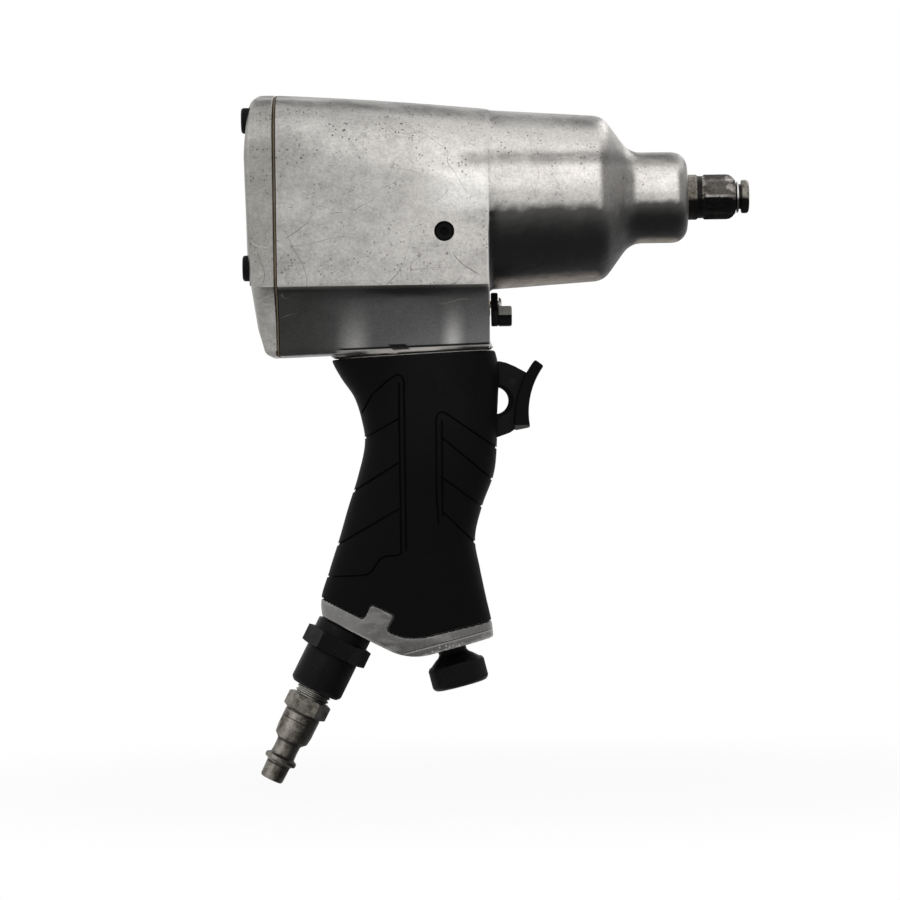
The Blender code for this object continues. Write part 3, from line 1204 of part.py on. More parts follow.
def make_throttle():
    """Tilt valve: the trigger's rod tips the stem, and the disc opens on its rear edge."""
    seat_top = SEAT_HEIGHT + SEAT_THICKNESS
    seat_outside = INLET_BORE_RADIUS - GAP
    turned("valve_seat", [
        (SEAT_HOLE_RADIUS, seat_top), (seat_outside, seat_top), (seat_outside, SEAT_HEIGHT),
        (SEAT_HOLE_RADIUS, SEAT_HEIGHT),
    ], INLET_ORIGIN, INLET_FRAME, "brass", SMALL, ring=True)
    disc_top = SEAT_HEIGHT - GAP
    pivot = inlet_at(disc_top, VALVE_DISC_RADIUS)
    valve = turned("throttle_valve", [
        (0, VALVE_STEM_LENGTH), (VALVE_STEM_RADIUS - EDGE, VALVE_STEM_LENGTH),
        (VALVE_STEM_RADIUS, VALVE_STEM_LENGTH - EDGE), (VALVE_STEM_RADIUS, 0), (VALVE_DISC_RADIUS, 0),
        (VALVE_DISC_RADIUS, -VALVE_DISC_THICKNESS), (0, -VALVE_DISC_THICKNESS),
    ], inlet_at(disc_top), INLET_FRAME, "brass", SMALL)
    hang_on(valve, pivot, INLET_FRAME)
    screen_top = BUSHING_SHANK_LENGTH + GAP + SCREEN_LENGTH
    coil(
        "throttle_spring", SPRING_RADIUS, SPRING_WIRE, SPRING_TURNS, screen_top + GAP,
        disc_top - VALVE_DISC_THICKNESS - GAP, INLET_ORIGIN, INLET_FRAME, "bright_steel",
    )


def trigger_pin_place():
    rear_of_window = WINDOW_CENTRE[0] - TRIGGER_WINDOW_LENGTH - TRIGGER_WINDOW_RADIUS
    return (rear_of_window + TRIGGER_PIN_RADIUS + GAP, 0, WINDOW_CENTRE[1])


def make_trigger():
    """A finger pad on a web, with the window that the pin runs in and the rod that tips the valve."""
    centre_x = PAD_CENTRE[0]
    rear_radius = TRIGGER_PAD_RADIUS + TRIGGER_PAD_THICKNESS
    inner = TRIGGER_PAD_RADIUS + TRIGGER_PAD_THICKNESS / 2
    top_angle = TRIGGER_PAD_TOP + TRIGGER_WEB_TOP_TURN
    foot_angle = TRIGGER_PAD_FOOT - TRIGGER_WEB_FOOT_TURN
    on_pad = arc(PAD_CENTRE, inner, top_angle, foot_angle, 2)
    outline = [
        (TRIGGER_REAR, TRIGGER_TOP), (BODY_FRONT + TRIGGER_WEB_TOP_REACH, TRIGGER_TOP), *on_pad,
        (centre_x - rear_radius - TRIGGER_PAD_FOOT_INSET, TRIGGER_FOOT + TRIGGER_WEB_FOOT_RISE),
        (BODY_FRONT + TRIGGER_WEB_FOOT_REACH, TRIGGER_FOOT), (TRIGGER_REAR, TRIGGER_FOOT),
    ]
    half_web = TRIGGER_WEB / 2
    trigger = prism("trigger", outline, -half_web, half_web, frame=ALONG_Y, finish="black_plastic")
    pad_outline = sector(
        TRIGGER_PAD_RADIUS, rear_radius, TRIGGER_PAD_TOP, TRIGGER_PAD_FOOT, 8, PAD_CENTRE,
    )
    half_pad = TRIGGER_PAD_WIDTH / 2
    pad = prism("trigger_pad", pad_outline, -half_pad, half_pad, frame=ALONG_Y)
    join(trigger, rounded(pad, TRIGGER_PAD_EDGE))
    window_rear = (WINDOW_CENTRE[0] - TRIGGER_WINDOW_LENGTH, WINDOW_CENTRE[1])
    cut(trigger, prism(
        "trigger_window", link(window_rear, TRIGGER_WINDOW_RADIUS, WINDOW_CENTRE, TRIGGER_WINDOW_RADIUS),
        -TRIGGER_WEB, TRIGGER_WEB, frame=ALONG_Y,
    ))
    stem_face = stem_at_rod() + VALVE_STEM_RADIUS / cos(INLET_TILT)
    rod_end = stem_face + TRIGGER_ROD_RADIUS * tan(INLET_TILT) + GAP
    join(trigger, cylinder(
        "trigger_rod", TRIGGER_ROD_RADIUS, rod_end, TRIGGER_REAR + LAP,
        (0, 0, TRIGGER_ROD_HEIGHT), steps=SMALL,
    ))
    hang_on(trigger, (rod_end, 0, TRIGGER_ROD_HEIGHT), ALONG_X)
    half_pin = TRIGGER_PIN_LENGTH / 2
    cylinder(
        "trigger_pin", TRIGGER_PIN_RADIUS, -half_pin, half_pin, trigger_pin_place(), ALONG_Y,
        "bright_steel", TINY,
    )


def stem_at_rod():
    """X of the valve stem's axis at the rod's height."""
    return INLET_ORIGIN.x + (TRIGGER_ROD_HEIGHT - INLET_ORIGIN.z) * tan(INLET_TILT)


def make_regulator():
    """Power regulator: a knurled knob, its stem up in the handle and the seal on the stem."""
    cone = -KNOB_NECK_LENGTH - GAP
    top = cone - KNOB_CONE_LENGTH
    foot = top - KNOB_HEIGHT
    knob = turned("regulator_knob", [
        (0, -GAP), (KNOB_NECK_RADIUS, -GAP), (KNOB_NECK_RADIUS, cone), (KNOB_RADIUS - KNOB_EDGE, top),
        (KNOB_RADIUS, top - KNOB_EDGE), (KNOB_RADIUS, foot + KNOB_EDGE), (KNOB_RADIUS - KNOB_EDGE, foot),
        (0, foot),
    ], KNOB_ORIGIN, KNOB_FRAME, "black_steel", FINE)
    bore = REGULATOR_STEM_RADIUS + GAP
    cut(knob, cylinder("knob_bore", bore, top, OVERLAP, KNOB_ORIGIN, KNOB_FRAME, steps=SMALL))
    seal_low = REGULATOR_SEAL_DEPTH - REGULATOR_SEAL_WIRE
    seal_high = REGULATOR_SEAL_DEPTH + REGULATOR_SEAL_WIRE
    waist = REGULATOR_STEM_RADIUS - 2 * REGULATOR_SEAL_WIRE - GAP
    stem_foot = top + GAP
    turned("regulator_stem", [
        (0, REGULATOR_STEM_LENGTH), (REGULATOR_STEM_RADIUS - EDGE, REGULATOR_STEM_LENGTH),
        (REGULATOR_STEM_RADIUS, REGULATOR_STEM_LENGTH - EDGE), (REGULATOR_STEM_RADIUS, seal_high + GAP),
        (waist, seal_high + GAP), (waist, seal_low - GAP), (REGULATOR_STEM_RADIUS, seal_low - GAP),
        (REGULATOR_STEM_RADIUS, stem_foot), (0, stem_foot),
    ], KNOB_ORIGIN, KNOB_FRAME, "brass", SMALL)
    torus(
        "regulator_seal", REGULATOR_STEM_RADIUS - REGULATOR_SEAL_WIRE - GAP / 2, REGULATOR_SEAL_WIRE,
        KNOB_ORIGIN + KNOB_UP * REGULATOR_SEAL_DEPTH, KNOB_FRAME, "rubber", SMALL,
    )


def make_muffler():
    foot = VERTEX + KNOB_SIDE * MUFFLER_FROM_VERTEX
    cylinder(
        "exhaust_muffler", MUFFLER_RADIUS, MUFFLER_SET_BACK, MUFFLER_LENGTH, foot, KNOB_FRAME, "felt", SMALL,
    )


# ================================================================ reverse
def detent_ball_drop():
    return REVERSE_RADIUS - DETENT_GROOVE_DEPTH + DETENT_BALL_RADIUS + GAP


def detent_floor():
    return detent_ball_drop() + DETENT_BALL_RADIUS + DETENT_SPRING_LENGTH + 2 * GAP


def make_reverse():
    """Reverse spool along the body's front, with its lever under the barrel, screw, ball and spring."""
    front = BODY_FRONT + GAP
    rear = BODY_FRONT - REVERSE_LENGTH
    groove = BODY_FRONT - DETENT_FROM_FACE
    at = (0, 0, REVERSE_HEIGHT)
    ball = DETENT_BALL_RADIUS
    track = REVERSE_RADIUS - DETENT_GROOVE_DEPTH
    spool = turned("reverse_valve", [
        (0, front), (REVERSE_RADIUS, front), (REVERSE_RADIUS, groove + ball), (track, groove + ball),
        (track, groove - ball), (REVERSE_RADIUS, groove - ball), (REVERSE_RADIUS, groove - SPOOL_LAND),
        (REVERSE_WAIST, groove - SPOOL_LAND - SPOOL_TAPER), (REVERSE_WAIST, rear + SPOOL_LAND + SPOOL_TAPER),
        (REVERSE_RADIUS, rear + SPOOL_LAND), (REVERSE_RADIUS, rear), (0, rear),
    ], at, finish="brass", steps=SMALL)
    screw_hole = LEVER_SCREW_RADIUS + GAP
    thread_floor = front - LEVER_SCREW_LENGTH
    cut(spool, cylinder("spool_thread", screw_hole, thread_floor, front + OVERLAP, at, steps=TINY))
    finger = (LEVER_REACH * cos(LEVER_REST), LEVER_REACH * sin(LEVER_REST))
    plate_rear = front + GAP
    plate_front = plate_rear + LEVER_THICKNESS
    plate = link((0, 0), LEVER_HUB_RADIUS, finger, LEVER_FINGER_RADIUS + SHY)
    lever = prism("reverse_lever", plate, plate_rear, plate_front, at, finish="black_steel")
    join(lever, cylinder(
        "lever_finger", LEVER_FINGER_RADIUS, plate_rear + LAP, plate_front + LEVER_FINGER_LENGTH,
        (0, finger[0], REVERSE_HEIGHT + finger[1]), steps=SMALL,
    ))
    cut(lever, cylinder(
        "lever_hole", screw_hole, plate_rear - OVERLAP, plate_front + OVERLAP, at, steps=TINY,
    ))
    head = plate_front + GAP
    head_top = head + LEVER_SCREW_HEAD_HEIGHT
    screw_end = head - LEVER_SCREW_LENGTH
    turned("lever_screw", [
        (0, head_top), (LEVER_SCREW_HEAD_RADIUS - EDGE, head_top), (LEVER_SCREW_HEAD_RADIUS, head_top - EDGE),
        (LEVER_SCREW_HEAD_RADIUS, head), (LEVER_SCREW_RADIUS, head), (LEVER_SCREW_RADIUS, screw_end),
        (0, screw_end),
    ], at, finish="bright_steel", steps=TINY)
    below = Vector((groove, 0, REVERSE_HEIGHT))
    bm = bmesh.new()
    bmesh.ops.create_uvsphere(bm, u_segments=12, v_segments=8, radius=ball)
    ball_at = below - Vector((0, 0, detent_ball_drop()))
    place("detent_ball", mesh_of("detent_ball", bm), ball_at, UPRIGHT, "bearing_steel")
    top = -detent_ball_drop() - ball - GAP
    coil(
        "detent_spring", ball - DETENT_SPRING_WIRE, DETENT_SPRING_WIRE, DETENT_SPRING_TURNS,
        top - DETENT_SPRING_LENGTH, top, below, UPRIGHT, "bright_steel",
    )


def make_oil_plug():
    x, z = OIL_PORT_AT
    outer = BODY_HALF_WIDTH - OIL_PLUG_DEPTH
    inner = outer - OIL_PLUG_LENGTH
    plug = cylinder(
        "oil_plug", OIL_PORT_RADIUS - GAP, inner, outer, (x, 0, z), ALONG_Y, "black_steel", SMALL,
    )
    socket_floor = outer - OIL_PLUG_SOCKET_DEPTH
    cut(plug, prism(
        "oil_plug_socket", hexagon(OIL_PLUG_SOCKET), socket_floor, outer + OVERLAP, (x, 0, z), ALONG_Y,
    ))


def finish_shading():
    for obj in PARTS.objects:
        if obj.type == "MESH":
            smooth(obj.data)


clear_scene()
PARTS = collection("impact_wrench")
FORMS = collection("forms_and_cutters")
make_housing()
make_cover()
make_gasket()
make_cover_screws()
make_motor()
make_clutch()
make_grip()
make_inlet()
make_throttle()
make_trigger()
make_regulator()
make_muffler()
make_reverse()
make_oil_plug()
finish_shading()
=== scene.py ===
"""Pistol-grip air impact wrench: the outside pieces, their finishes and a plain studio."""

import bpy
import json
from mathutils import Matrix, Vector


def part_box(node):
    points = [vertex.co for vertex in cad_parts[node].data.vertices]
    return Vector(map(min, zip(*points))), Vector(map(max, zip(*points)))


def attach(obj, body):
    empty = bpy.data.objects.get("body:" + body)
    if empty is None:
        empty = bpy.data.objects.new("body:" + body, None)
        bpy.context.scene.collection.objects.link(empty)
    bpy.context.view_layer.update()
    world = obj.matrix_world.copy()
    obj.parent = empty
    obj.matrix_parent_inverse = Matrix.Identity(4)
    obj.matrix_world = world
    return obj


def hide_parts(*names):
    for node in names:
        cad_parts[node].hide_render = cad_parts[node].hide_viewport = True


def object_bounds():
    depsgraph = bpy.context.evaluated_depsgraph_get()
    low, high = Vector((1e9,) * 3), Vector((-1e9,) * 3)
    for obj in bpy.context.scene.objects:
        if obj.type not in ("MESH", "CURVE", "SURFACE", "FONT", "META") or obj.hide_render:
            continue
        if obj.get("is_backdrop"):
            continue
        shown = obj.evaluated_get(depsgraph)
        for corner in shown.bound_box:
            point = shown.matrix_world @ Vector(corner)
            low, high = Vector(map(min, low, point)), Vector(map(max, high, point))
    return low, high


bl_info = {
    "name": "Air Impact Wrench",
    "version": (1, 0, 0),
    "blender": (4, 5, 0),
    "location": "3D View > Sidebar > Wrench",
    "description": "Models an air impact wrench's castings, rubber grip, controls and fittings",
    "category": "Add Mesh",
}

import json
from math import atan2, copysign, cos, pi, radians, sin, tan

import bmesh
import bpy
from mathutils import Matrix, Vector

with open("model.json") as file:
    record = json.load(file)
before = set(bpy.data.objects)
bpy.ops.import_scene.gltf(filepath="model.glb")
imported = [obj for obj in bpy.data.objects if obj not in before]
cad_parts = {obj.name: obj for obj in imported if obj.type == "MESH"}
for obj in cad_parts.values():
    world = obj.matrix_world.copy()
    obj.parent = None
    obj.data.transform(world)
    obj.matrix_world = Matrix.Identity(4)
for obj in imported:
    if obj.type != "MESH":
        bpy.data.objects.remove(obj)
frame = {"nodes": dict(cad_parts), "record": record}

GAP = 0.0003  # clearance between neighbouring pieces
PAST = 0.002  # how far a cutting form runs past the face that it opens
BEYOND = 0.03  # a length that reaches past the tool's sides
MERGE = 0.000001
ACROSS = Vector((0, 1, 0))
ALONG = Vector((1, 0, 0))
UP = Vector((0, 0, 1))

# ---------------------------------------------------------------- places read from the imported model
CASTING_LOW, CASTING_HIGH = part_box("housing")
COVER_LOW, COVER_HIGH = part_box("rear_cover")
GASKET_LOW, GASKET_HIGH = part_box("rear_gasket")
BUSHING_LOW, BUSHING_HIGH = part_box("anvil_bushing")
NOSE_FACE = CASTING_HIGH.x
BODY_REAR = CASTING_LOW.x
BODY_FRONT = NOSE_FACE - 0.0737
COVER_FRONT = COVER_HIGH.x
BACK_FACE = COVER_LOW.x
SCREWS = ("top_left", "top_right", "bottom_left", "bottom_right")

# ---------------------------------------------------------------- the handle and its foot
# height, rear edge and front edge of the rubber's side outline
HANDLE_STATIONS = (
    (-0.0500, -0.1560, -0.0950),
    (-0.0580, -0.1552, -0.0947),
    (-0.0650, -0.1517, -0.0931),
    (-0.0720, -0.1470, -0.0935),
    (-0.0800, -0.1444, -0.0940),
    (-0.0890, -0.1432, -0.0943),
    (-0.1010, -0.1458, -0.0956),
    (-0.1130, -0.1497, -0.1001),
    (-0.1250, -0.1533, -0.1029),
    (-0.1370, -0.1572, -0.1011),
    (-0.1470, -0.1602, -0.0991),
    (-0.1570, -0.1592, -0.0970),
    (-0.1720, -0.1572, -0.0962),
)
OVAL = 0.8  # how boxy the handle's section is: 1 is an ellipse
GROOVES_LOW, GROOVES_HIGH = -0.150, -0.061
GRIP_TOP_FRONT = -0.0556
GRIP_TOP_REAR = -0.0584
FLANGE_VERTEX = Vector((-0.1279, 0, -0.1692))
INLET_TILT = radians(27)
KNOB_TILT = radians(14)
INLET_UP = Vector((sin(INLET_TILT), 0, cos(INLET_TILT)))
INLET_SIDE = Vector((cos(INLET_TILT), 0, -sin(INLET_TILT)))
KNOB_UP = Vector((-sin(KNOB_TILT), 0, cos(KNOB_TILT)))
KNOB_SIDE = Vector((cos(KNOB_TILT), 0, sin(KNOB_TILT)))
INLET_ORIGIN = FLANGE_VERTEX - INLET_SIDE * 0.0262
KNOB_ORIGIN = FLANGE_VERTEX + KNOB_SIDE * 0.0162
INLET = INLET_ORIGIN, INLET_UP
KNOB = KNOB_ORIGIN, KNOB_UP
MUFFLER = FLANGE_VERTEX + KNOB_SIDE * 0.0045, KNOB_UP
LEVER_THICKNESS = 0.0026
LEVER_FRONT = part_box("reverse_lever")[0].x + LEVER_THICKNESS

# ---------------------------------------------------------------- the trigger, in X and Z
PAD_CENTRE = (-0.0537, -0.0790)
WINDOW_CENTRE = (BODY_FRONT + 0.0016, -0.0742)
RIM_CENTRE = (-0.0939, -0.0742)  # the dark rim painted round the window
DIMPLE_CENTRE = (-0.0880, -0.06705)
ROD_HEIGHT = -0.083

# ---------------------------------------------------------------- holes that several pieces share
INLET_BORE = 0.0076
REGULATOR_BORE = 0.0043
MUFFLER_BORE = 0.0055
SCREW_HOLE = 0.0033
MOUTH_LENGTH = 0.0098  # how far the plug's thread goes into the bushing


# ================================================================ properties
def place(description, default, **limits):
    return bpy.props.FloatProperty(description=description, default=default, unit="LENGTH", precision=5, **limits)


def length(description, default):
    return place(description, default, min=0)


def colour(description, default):
    return bpy.props.FloatVectorProperty(
        description=description, default=default, size=3, min=0, max=1, subtype="COLOR"
    )


class WRENCH_PG_casting(bpy.types.PropertyGroup):
    """Sizes of the cast body and its cover."""

    nose_radius: length("Radius of the collar round the anvil", 0.0168)
    nose_edge: length("Rounding of the collar's front edge", 0.0058)
    nose_length: length("Length of the collar", 0.0172)
    nose_fillet: length("Radius of the hollow behind the collar", 0.008)
    shoulder: length("Rounding of the barrel's front", 0.0076)
    barrel_front: length("Barrel radius at the shoulder", 0.0307)
    barrel_rear: length("Barrel radius where it meets the body", 0.0337)
    barrel_length: length("From the nose face to the flat-sided body", 0.0737)
    half_width: length("Half the body's width", CASTING_HIGH.y)
    top_rear: length("Height of the body's top over the anvil's axis at the rear", CASTING_HIGH.z)
    corner: length("Rounding of the body's upper edges at the rear", 0.020)
    crease: place("Height of the crease under the flat sides", -0.0324)
    keel_front: place("Height of the body's underside in front", -0.0548)
    keel_rear: place("Height of the body's underside at the rear", -0.0572)
    keel_half_width: length("Half the width of the body's underside", 0.017)
    cover_edge: length("Rounding of the cover's rear edge", 0.0036)
    grain: length("Size of the mesh that the castings are fused with", 0.00085)


class WRENCH_PG_grip(bpy.types.PropertyGroup):
    """Sizes of the rubber grip and the foot below it."""

    half_width: length("Half the width of the grip at its ends", 0.0165)
    waist: length("How much narrower the grip is at mid-height", 0.0012)
    wall: length("Thickness of the rubber", 0.0022)
    groove_width: length("Width of the moulded grooves", 0.00065)
    groove_depth: length("Depth of the moulded grooves", 0.0005)
    flange_rear: length("Thickness of the foot behind its vertex", 0.006)
    flange_front: length("Thickness of the foot in front of its vertex", 0.0053)
    tab_width: length("Width of the foot's tab", 0.0094)
    tab_height: length("Height of the foot's tab", 0.0064)


class WRENCH_PG_drive(bpy.types.PropertyGroup):
    """Sizes of the anvil's square drive."""

    square: length("Across the flats of the square", 0.0127)
    corner_radius: length("Radius that the square's corners are turned to", 0.0083)
    square_length: length("Length of the square behind the ring's groove", 0.0125)
    tip_radius: length("Radius of the collar at the tip", 0.00615)
    tip_length: length("Length of the collar at the tip", 0.0028)
    groove_width: length("Width of the retaining ring's groove", 0.0022)
    groove_radius: length("Radius at the bottom of the retaining ring's groove", 0.0046)
    journal_radius: length("Radius of the journal in the nose", 0.00835)


class WRENCH_PG_inlet(bpy.types.PropertyGroup):
    """Sizes of the black inlet bushing."""

    collar_height: length("Height of the collar over the hexagon", 0.0042)
    hex_height: length("Height of the hexagon", 0.0069)
    sleeve_radius: length("Radius of the sleeve", 0.010)
    sleeve_length: length("Length of the sleeve", 0.0147)


class WRENCH_PG_knob(bpy.types.PropertyGroup):
    """Sizes of the regulator's knob."""

    radius: length("Radius over the knurl", 0.0106)
    height: length("Height of the knurled part", 0.009)
    knurl_depth: length("Height of the knurl's diamonds", 0.00030)


class WRENCH_PG_trigger(bpy.types.PropertyGroup):
    """Sizes of the trigger."""

    web: length("Thickness of the web", 0.0045)
    pad_width: length("Width of the finger pad", 0.015)
    pad_thickness: length("Thickness of the finger pad", 0.004)


class WRENCH_PG_colours(bpy.types.PropertyGroup):
    """Colours of the finishes."""

    casting: colour("Clean faces of the castings", (0.46, 0.45, 0.43))
    casting_dull: colour("Oxidised patches on the castings", (0.27, 0.262, 0.248))
    rubber: colour("The grip", (0.0125, 0.0125, 0.0128))
    black: colour("Blackened screws, knob and bushing", (0.0055, 0.0055, 0.006))
    steel: colour("Anvil, plug and the steel inside", (0.24, 0.225, 0.195))
    steel_dark: colour("Stained steel", (0.085, 0.078, 0.068))
    floor: colour("Floor and backdrop", (0.93, 0.93, 0.93))


# ================================================================ modelling
def picked(piece):
    """The piece, as the only one selected."""
    bpy.ops.object.select_all(action="DESELECT")
    bpy.context.view_layer.objects.active = piece
    piece.select_set(True)
    return piece


def named(name):
    """The piece that was just added, with its name."""
    piece = bpy.context.object
    piece.name = piece.data.name = name
    return piece


def drawn(name, points):
    """A new piece in edit mode: one vertex drawn out along the points."""
    bpy.ops.mesh.primitive_plane_add(size=0.001, enter_editmode=True)
    piece = named(name)
    bpy.ops.mesh.merge(type="CENTER")
    bpy.ops.transform.translate(value=points[0])
    for before, after in zip(points, points[1:]):
        bpy.ops.mesh.extrude_vertices_move(TRANSFORM_OT_translate={"value": after - before})
    return piece


def tidied(piece):
    """Merges doubles, turns the faces outwards and leaves edit mode."""
    bpy.ops.mesh.select_all(action="SELECT")
    bpy.ops.mesh.remove_doubles(threshold=MERGE)
    bpy.ops.mesh.normals_make_consistent(inside=False)
    bpy.ops.object.mode_set(mode="OBJECT")
    return piece


def turned(name, profile, at=(0, 0, 0), axis=ALONG, ring=False, steps=64):
    """Spins a profile of radius and distance along the axis. It closes on the axis, or a ring's on itself."""
    out = UP if axis == ACROSS else ACROSS
    closed = [*profile, profile[0]] if ring else [(0, profile[0][1]), *profile, (0, profile[-1][1])]
    piece = drawn(name, [Vector(at) + axis * along + out * radius for radius, along in closed])
    bpy.ops.mesh.select_all(action="SELECT")
    bpy.ops.mesh.spin(steps=steps, angle=2 * pi, center=at, axis=axis)
    return tidied(piece)


def prism(name, outline, low, high, at=(0, 0, 0), across=ACROSS, up=UP):
    """Extrudes a flat outline, given in the across and up directions, from low to high."""
    normal = across.cross(up)
    points = [Vector(at) + across * a + up * b + normal * low for a, b in outline]
    piece = drawn(name, points)
    bpy.ops.mesh.select_all(action="SELECT")
    bpy.ops.mesh.edge_face_add()
    bpy.ops.mesh.extrude_region_move(TRANSFORM_OT_translate={"value": normal * (high - low)})
    return tidied(piece)


def side_prism(name, outline, half_width):
    """Extrudes a side outline of X and Z across the tool."""
    return prism(name, outline, -half_width, half_width, across=ALONG, up=UP)


def settle(piece, ring):
    """Moves the corners of the selected face to the points of the ring."""
    form = bmesh.from_edit_mesh(piece.data)
    cap = next(face for face in form.faces if face.select)
    for loop, point in zip(cap.loops, ring):
        loop.vert.co = point
    bmesh.update_edit_mesh(piece.data)


def lofted(name, rings):
    """Extrudes a face from ring to ring, and settles it on each."""
    corners = len(rings[0])
    bpy.ops.mesh.primitive_circle_add(vertices=corners, radius=0.01, fill_type="NGON", enter_editmode=True)
    piece = named(name)
    settle(piece, rings[0])
    for before, after in zip(rings, rings[1:]):
        step = Vector(after[0]) - Vector(before[0])
        bpy.ops.mesh.extrude_region_move(TRANSFORM_OT_translate={"value": step})
        settle(piece, after)
    return tidied(piece)


def block(name, low, high):
    """A box between two corners."""
    outline = [(low[0], low[2]), (high[0], low[2]), (high[0], high[2]), (low[0], high[2])]
    return prism(name, outline, -high[1], -low[1], across=ALONG, up=UP)


def applied(piece, kind, **settings):
    """Adds a modifier with these settings and applies it."""
    step = picked(piece).modifiers.new(kind, kind)
    for setting, value in settings.items():
        setattr(step, setting, value)
    bpy.ops.object.modifier_apply(modifier=step.name)
    return piece


def combined(piece, operation, *tools):
    for tool in tools:
        applied(piece, "BOOLEAN", operation=operation, solver="MANIFOLD", object=tool)
        bpy.data.objects.remove(tool)
    return piece


def cut(piece, *tools):
    return combined(piece, "DIFFERENCE", *tools)


def joined(piece, *others):
    return combined(piece, "UNION", *others)


def fused(piece, grain, rounds):
    """Fuses a form into one even skin, and rounds its edges as a casting's are."""
    applied(piece, "REMESH", mode="VOXEL", voxel_size=grain)
    return applied(piece, "SMOOTH", factor=0.5, iterations=rounds)


def bevelled(piece, width, segments=2, angle=35):
    """Rounds every edge that is sharper than the angle."""
    return applied(
        piece, "BEVEL", width=width, segments=segments, limit_method="ANGLE", angle_limit=radians(angle),
        use_clamp_overlap=True,
    )


def copied(piece, name, shift):
    """A copy of a piece with its own mesh, moved."""
    picked(piece)
    bpy.ops.object.duplicate()
    made = named(name)
    bpy.ops.object.mode_set(mode="EDIT")
    bpy.ops.mesh.select_all(action="SELECT")
    bpy.ops.transform.translate(value=shift)
    bpy.ops.object.mode_set(mode="OBJECT")
    return made


def packed_copy(name, node):
    """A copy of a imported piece's mesh, merged into one skin."""
    piece = bpy.data.objects.new(name, frame["nodes"][node].data.copy())
    bpy.context.collection.objects.link(piece)
    picked(piece)
    bpy.ops.object.mode_set(mode="EDIT")
    return tidied(piece)


def finished(piece, slot, *nodes, body="housing", angle=35):
    """Shades a piece, gives it its finish and hands it to its body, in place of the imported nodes."""
    picked(piece)
    bpy.ops.object.shade_smooth_by_angle(angle=radians(angle))
    piece.data.materials.clear()
    piece.data.materials.append(finish_of(slot))
    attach(piece, body)
    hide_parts(*nodes)


def middle_of(node, **kept):
    """The middle of a node's box, with the given coordinates replaced."""
    low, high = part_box(node)
    middle = (low + high) / 2
    for axis, value in kept.items():
        setattr(middle, axis, value)
    return middle


def finish_of(slot):
    return bpy.data.materials[slot + "_finish"]


def arc(centre, radius, start, end, steps):
    """Points round a centre, from one angle to another."""
    angles = [start + (end - start) * i / steps for i in range(steps + 1)]
    return [(centre[0] + radius * cos(a), centre[1] + radius * sin(a)) for a in angles]


def between(start, end, share):
    return start + (end - start) * share


def hexagon(across_flats):
    """The corners of a hexagon with this size across its flats."""
    return arc((0, 0), across_flats / (2 * cos(pi / 6)), 0, 2 * pi, 6)[:-1]


def nut(name, across_flats, low, high, at, side, chamfer=1.0):
    """A hexagon along side x ACROSS, whose corners are turned off at both ends."""
    piece = prism(name, hexagon(across_flats), low, high, at, side, ACROSS)
    corner, flat = across_flats / (2 * cos(pi / 6)) + 0.0005, across_flats / 2
    drop = (corner - flat) * 0.58 * chamfer
    shape = turned(name + "_shape", [
        (flat - 0.0003, low), (corner, low + drop), (corner, high - drop), (flat - 0.0003, high),
    ], at, side.cross(ACROSS), steps=72)
    return combined(piece, "INTERSECT", shape)


def drilled(name, radius, low, high, at, axis, steps=32):
    """A plain round cutting form along an axis."""
    return turned(name, [(radius, low), (radius, high)], at, axis, steps=steps)


# ================================================================ casting
def body_section(x, sizes):
    """Arch, flat side, crease, hollow sweep and keel of the body at X, all round."""
    draft = 0.0011  # how much narrower the sides are in front
    bulge = 0.0022
    crown = 0.002  # how far the middle of the top stands over its corners at the rear
    lip = 0.002  # the keel's bevelled edge
    front = NOSE_FACE - sizes.barrel_length
    share = (front - x) / (front - BODY_REAR)
    half_width = sizes.half_width - draft * (1 - share)
    top = between(sizes.barrel_rear, sizes.top_rear, share) + bulge * share * (1 - share)
    keel = between(sizes.keel_front, sizes.keel_rear, share)
    radius = between(sizes.barrel_rear, sizes.corner, share)
    sweep_width = half_width - sizes.keel_half_width
    sweep_height = sizes.crease - keel - lip
    right = [(sizes.keel_half_width - lip, keel)]
    for side, height in arc((0, 0), 1, 0, pi / 2, 16):
        right.append((half_width - sweep_width * side, keel + lip + sweep_height * height))
    right += arc((half_width - radius, top - crown * share - radius), radius, 0, radians(87), 22)
    return right + [(0, top)] + [(-y, z) for y, z in reversed(right)]


def barrel_profile(sizes):
    """Nose, hollow, shoulder and drafted barrel, front to rear."""
    slope = radians(54)  # how steeply the cone between the hollow and the shoulder rises
    nose_rear = NOSE_FACE - sizes.nose_length
    edge = arc((sizes.nose_radius - sizes.nose_edge, NOSE_FACE - sizes.nose_edge), sizes.nose_edge, pi / 2, 0, 8)
    hollow = [
        (sizes.nose_radius + sizes.nose_fillet * (1 - side), nose_rear - sizes.nose_fillet * height)
        for side, height in arc((0, 0), 1, 0, slope, 10)
    ]
    rise = sizes.barrel_front - sizes.shoulder * (1 - cos(slope)) - hollow[-1][0]
    shoulder_end = hollow[-1][1] - rise / tan(slope) - sizes.shoulder * sin(slope)
    shoulder = arc((sizes.barrel_front - sizes.shoulder, shoulder_end), sizes.shoulder, slope, 0, 10)
    rear = NOSE_FACE - sizes.barrel_length - 0.006
    return edge + hollow + shoulder + [(sizes.barrel_rear - 0.0001, rear)]


def eased(before, start, end, after, share):
    """A value on the smooth curve from start to end, given their neighbours."""
    leave, arrive = (end - before) / 2, (after - start) / 2
    return (
        start * (2 * share**3 - 3 * share**2 + 1) + leave * (share**3 - 2 * share**2 + share)
        + end * (3 * share**2 - 2 * share**3) + arrive * (share**3 - share**2)
    )


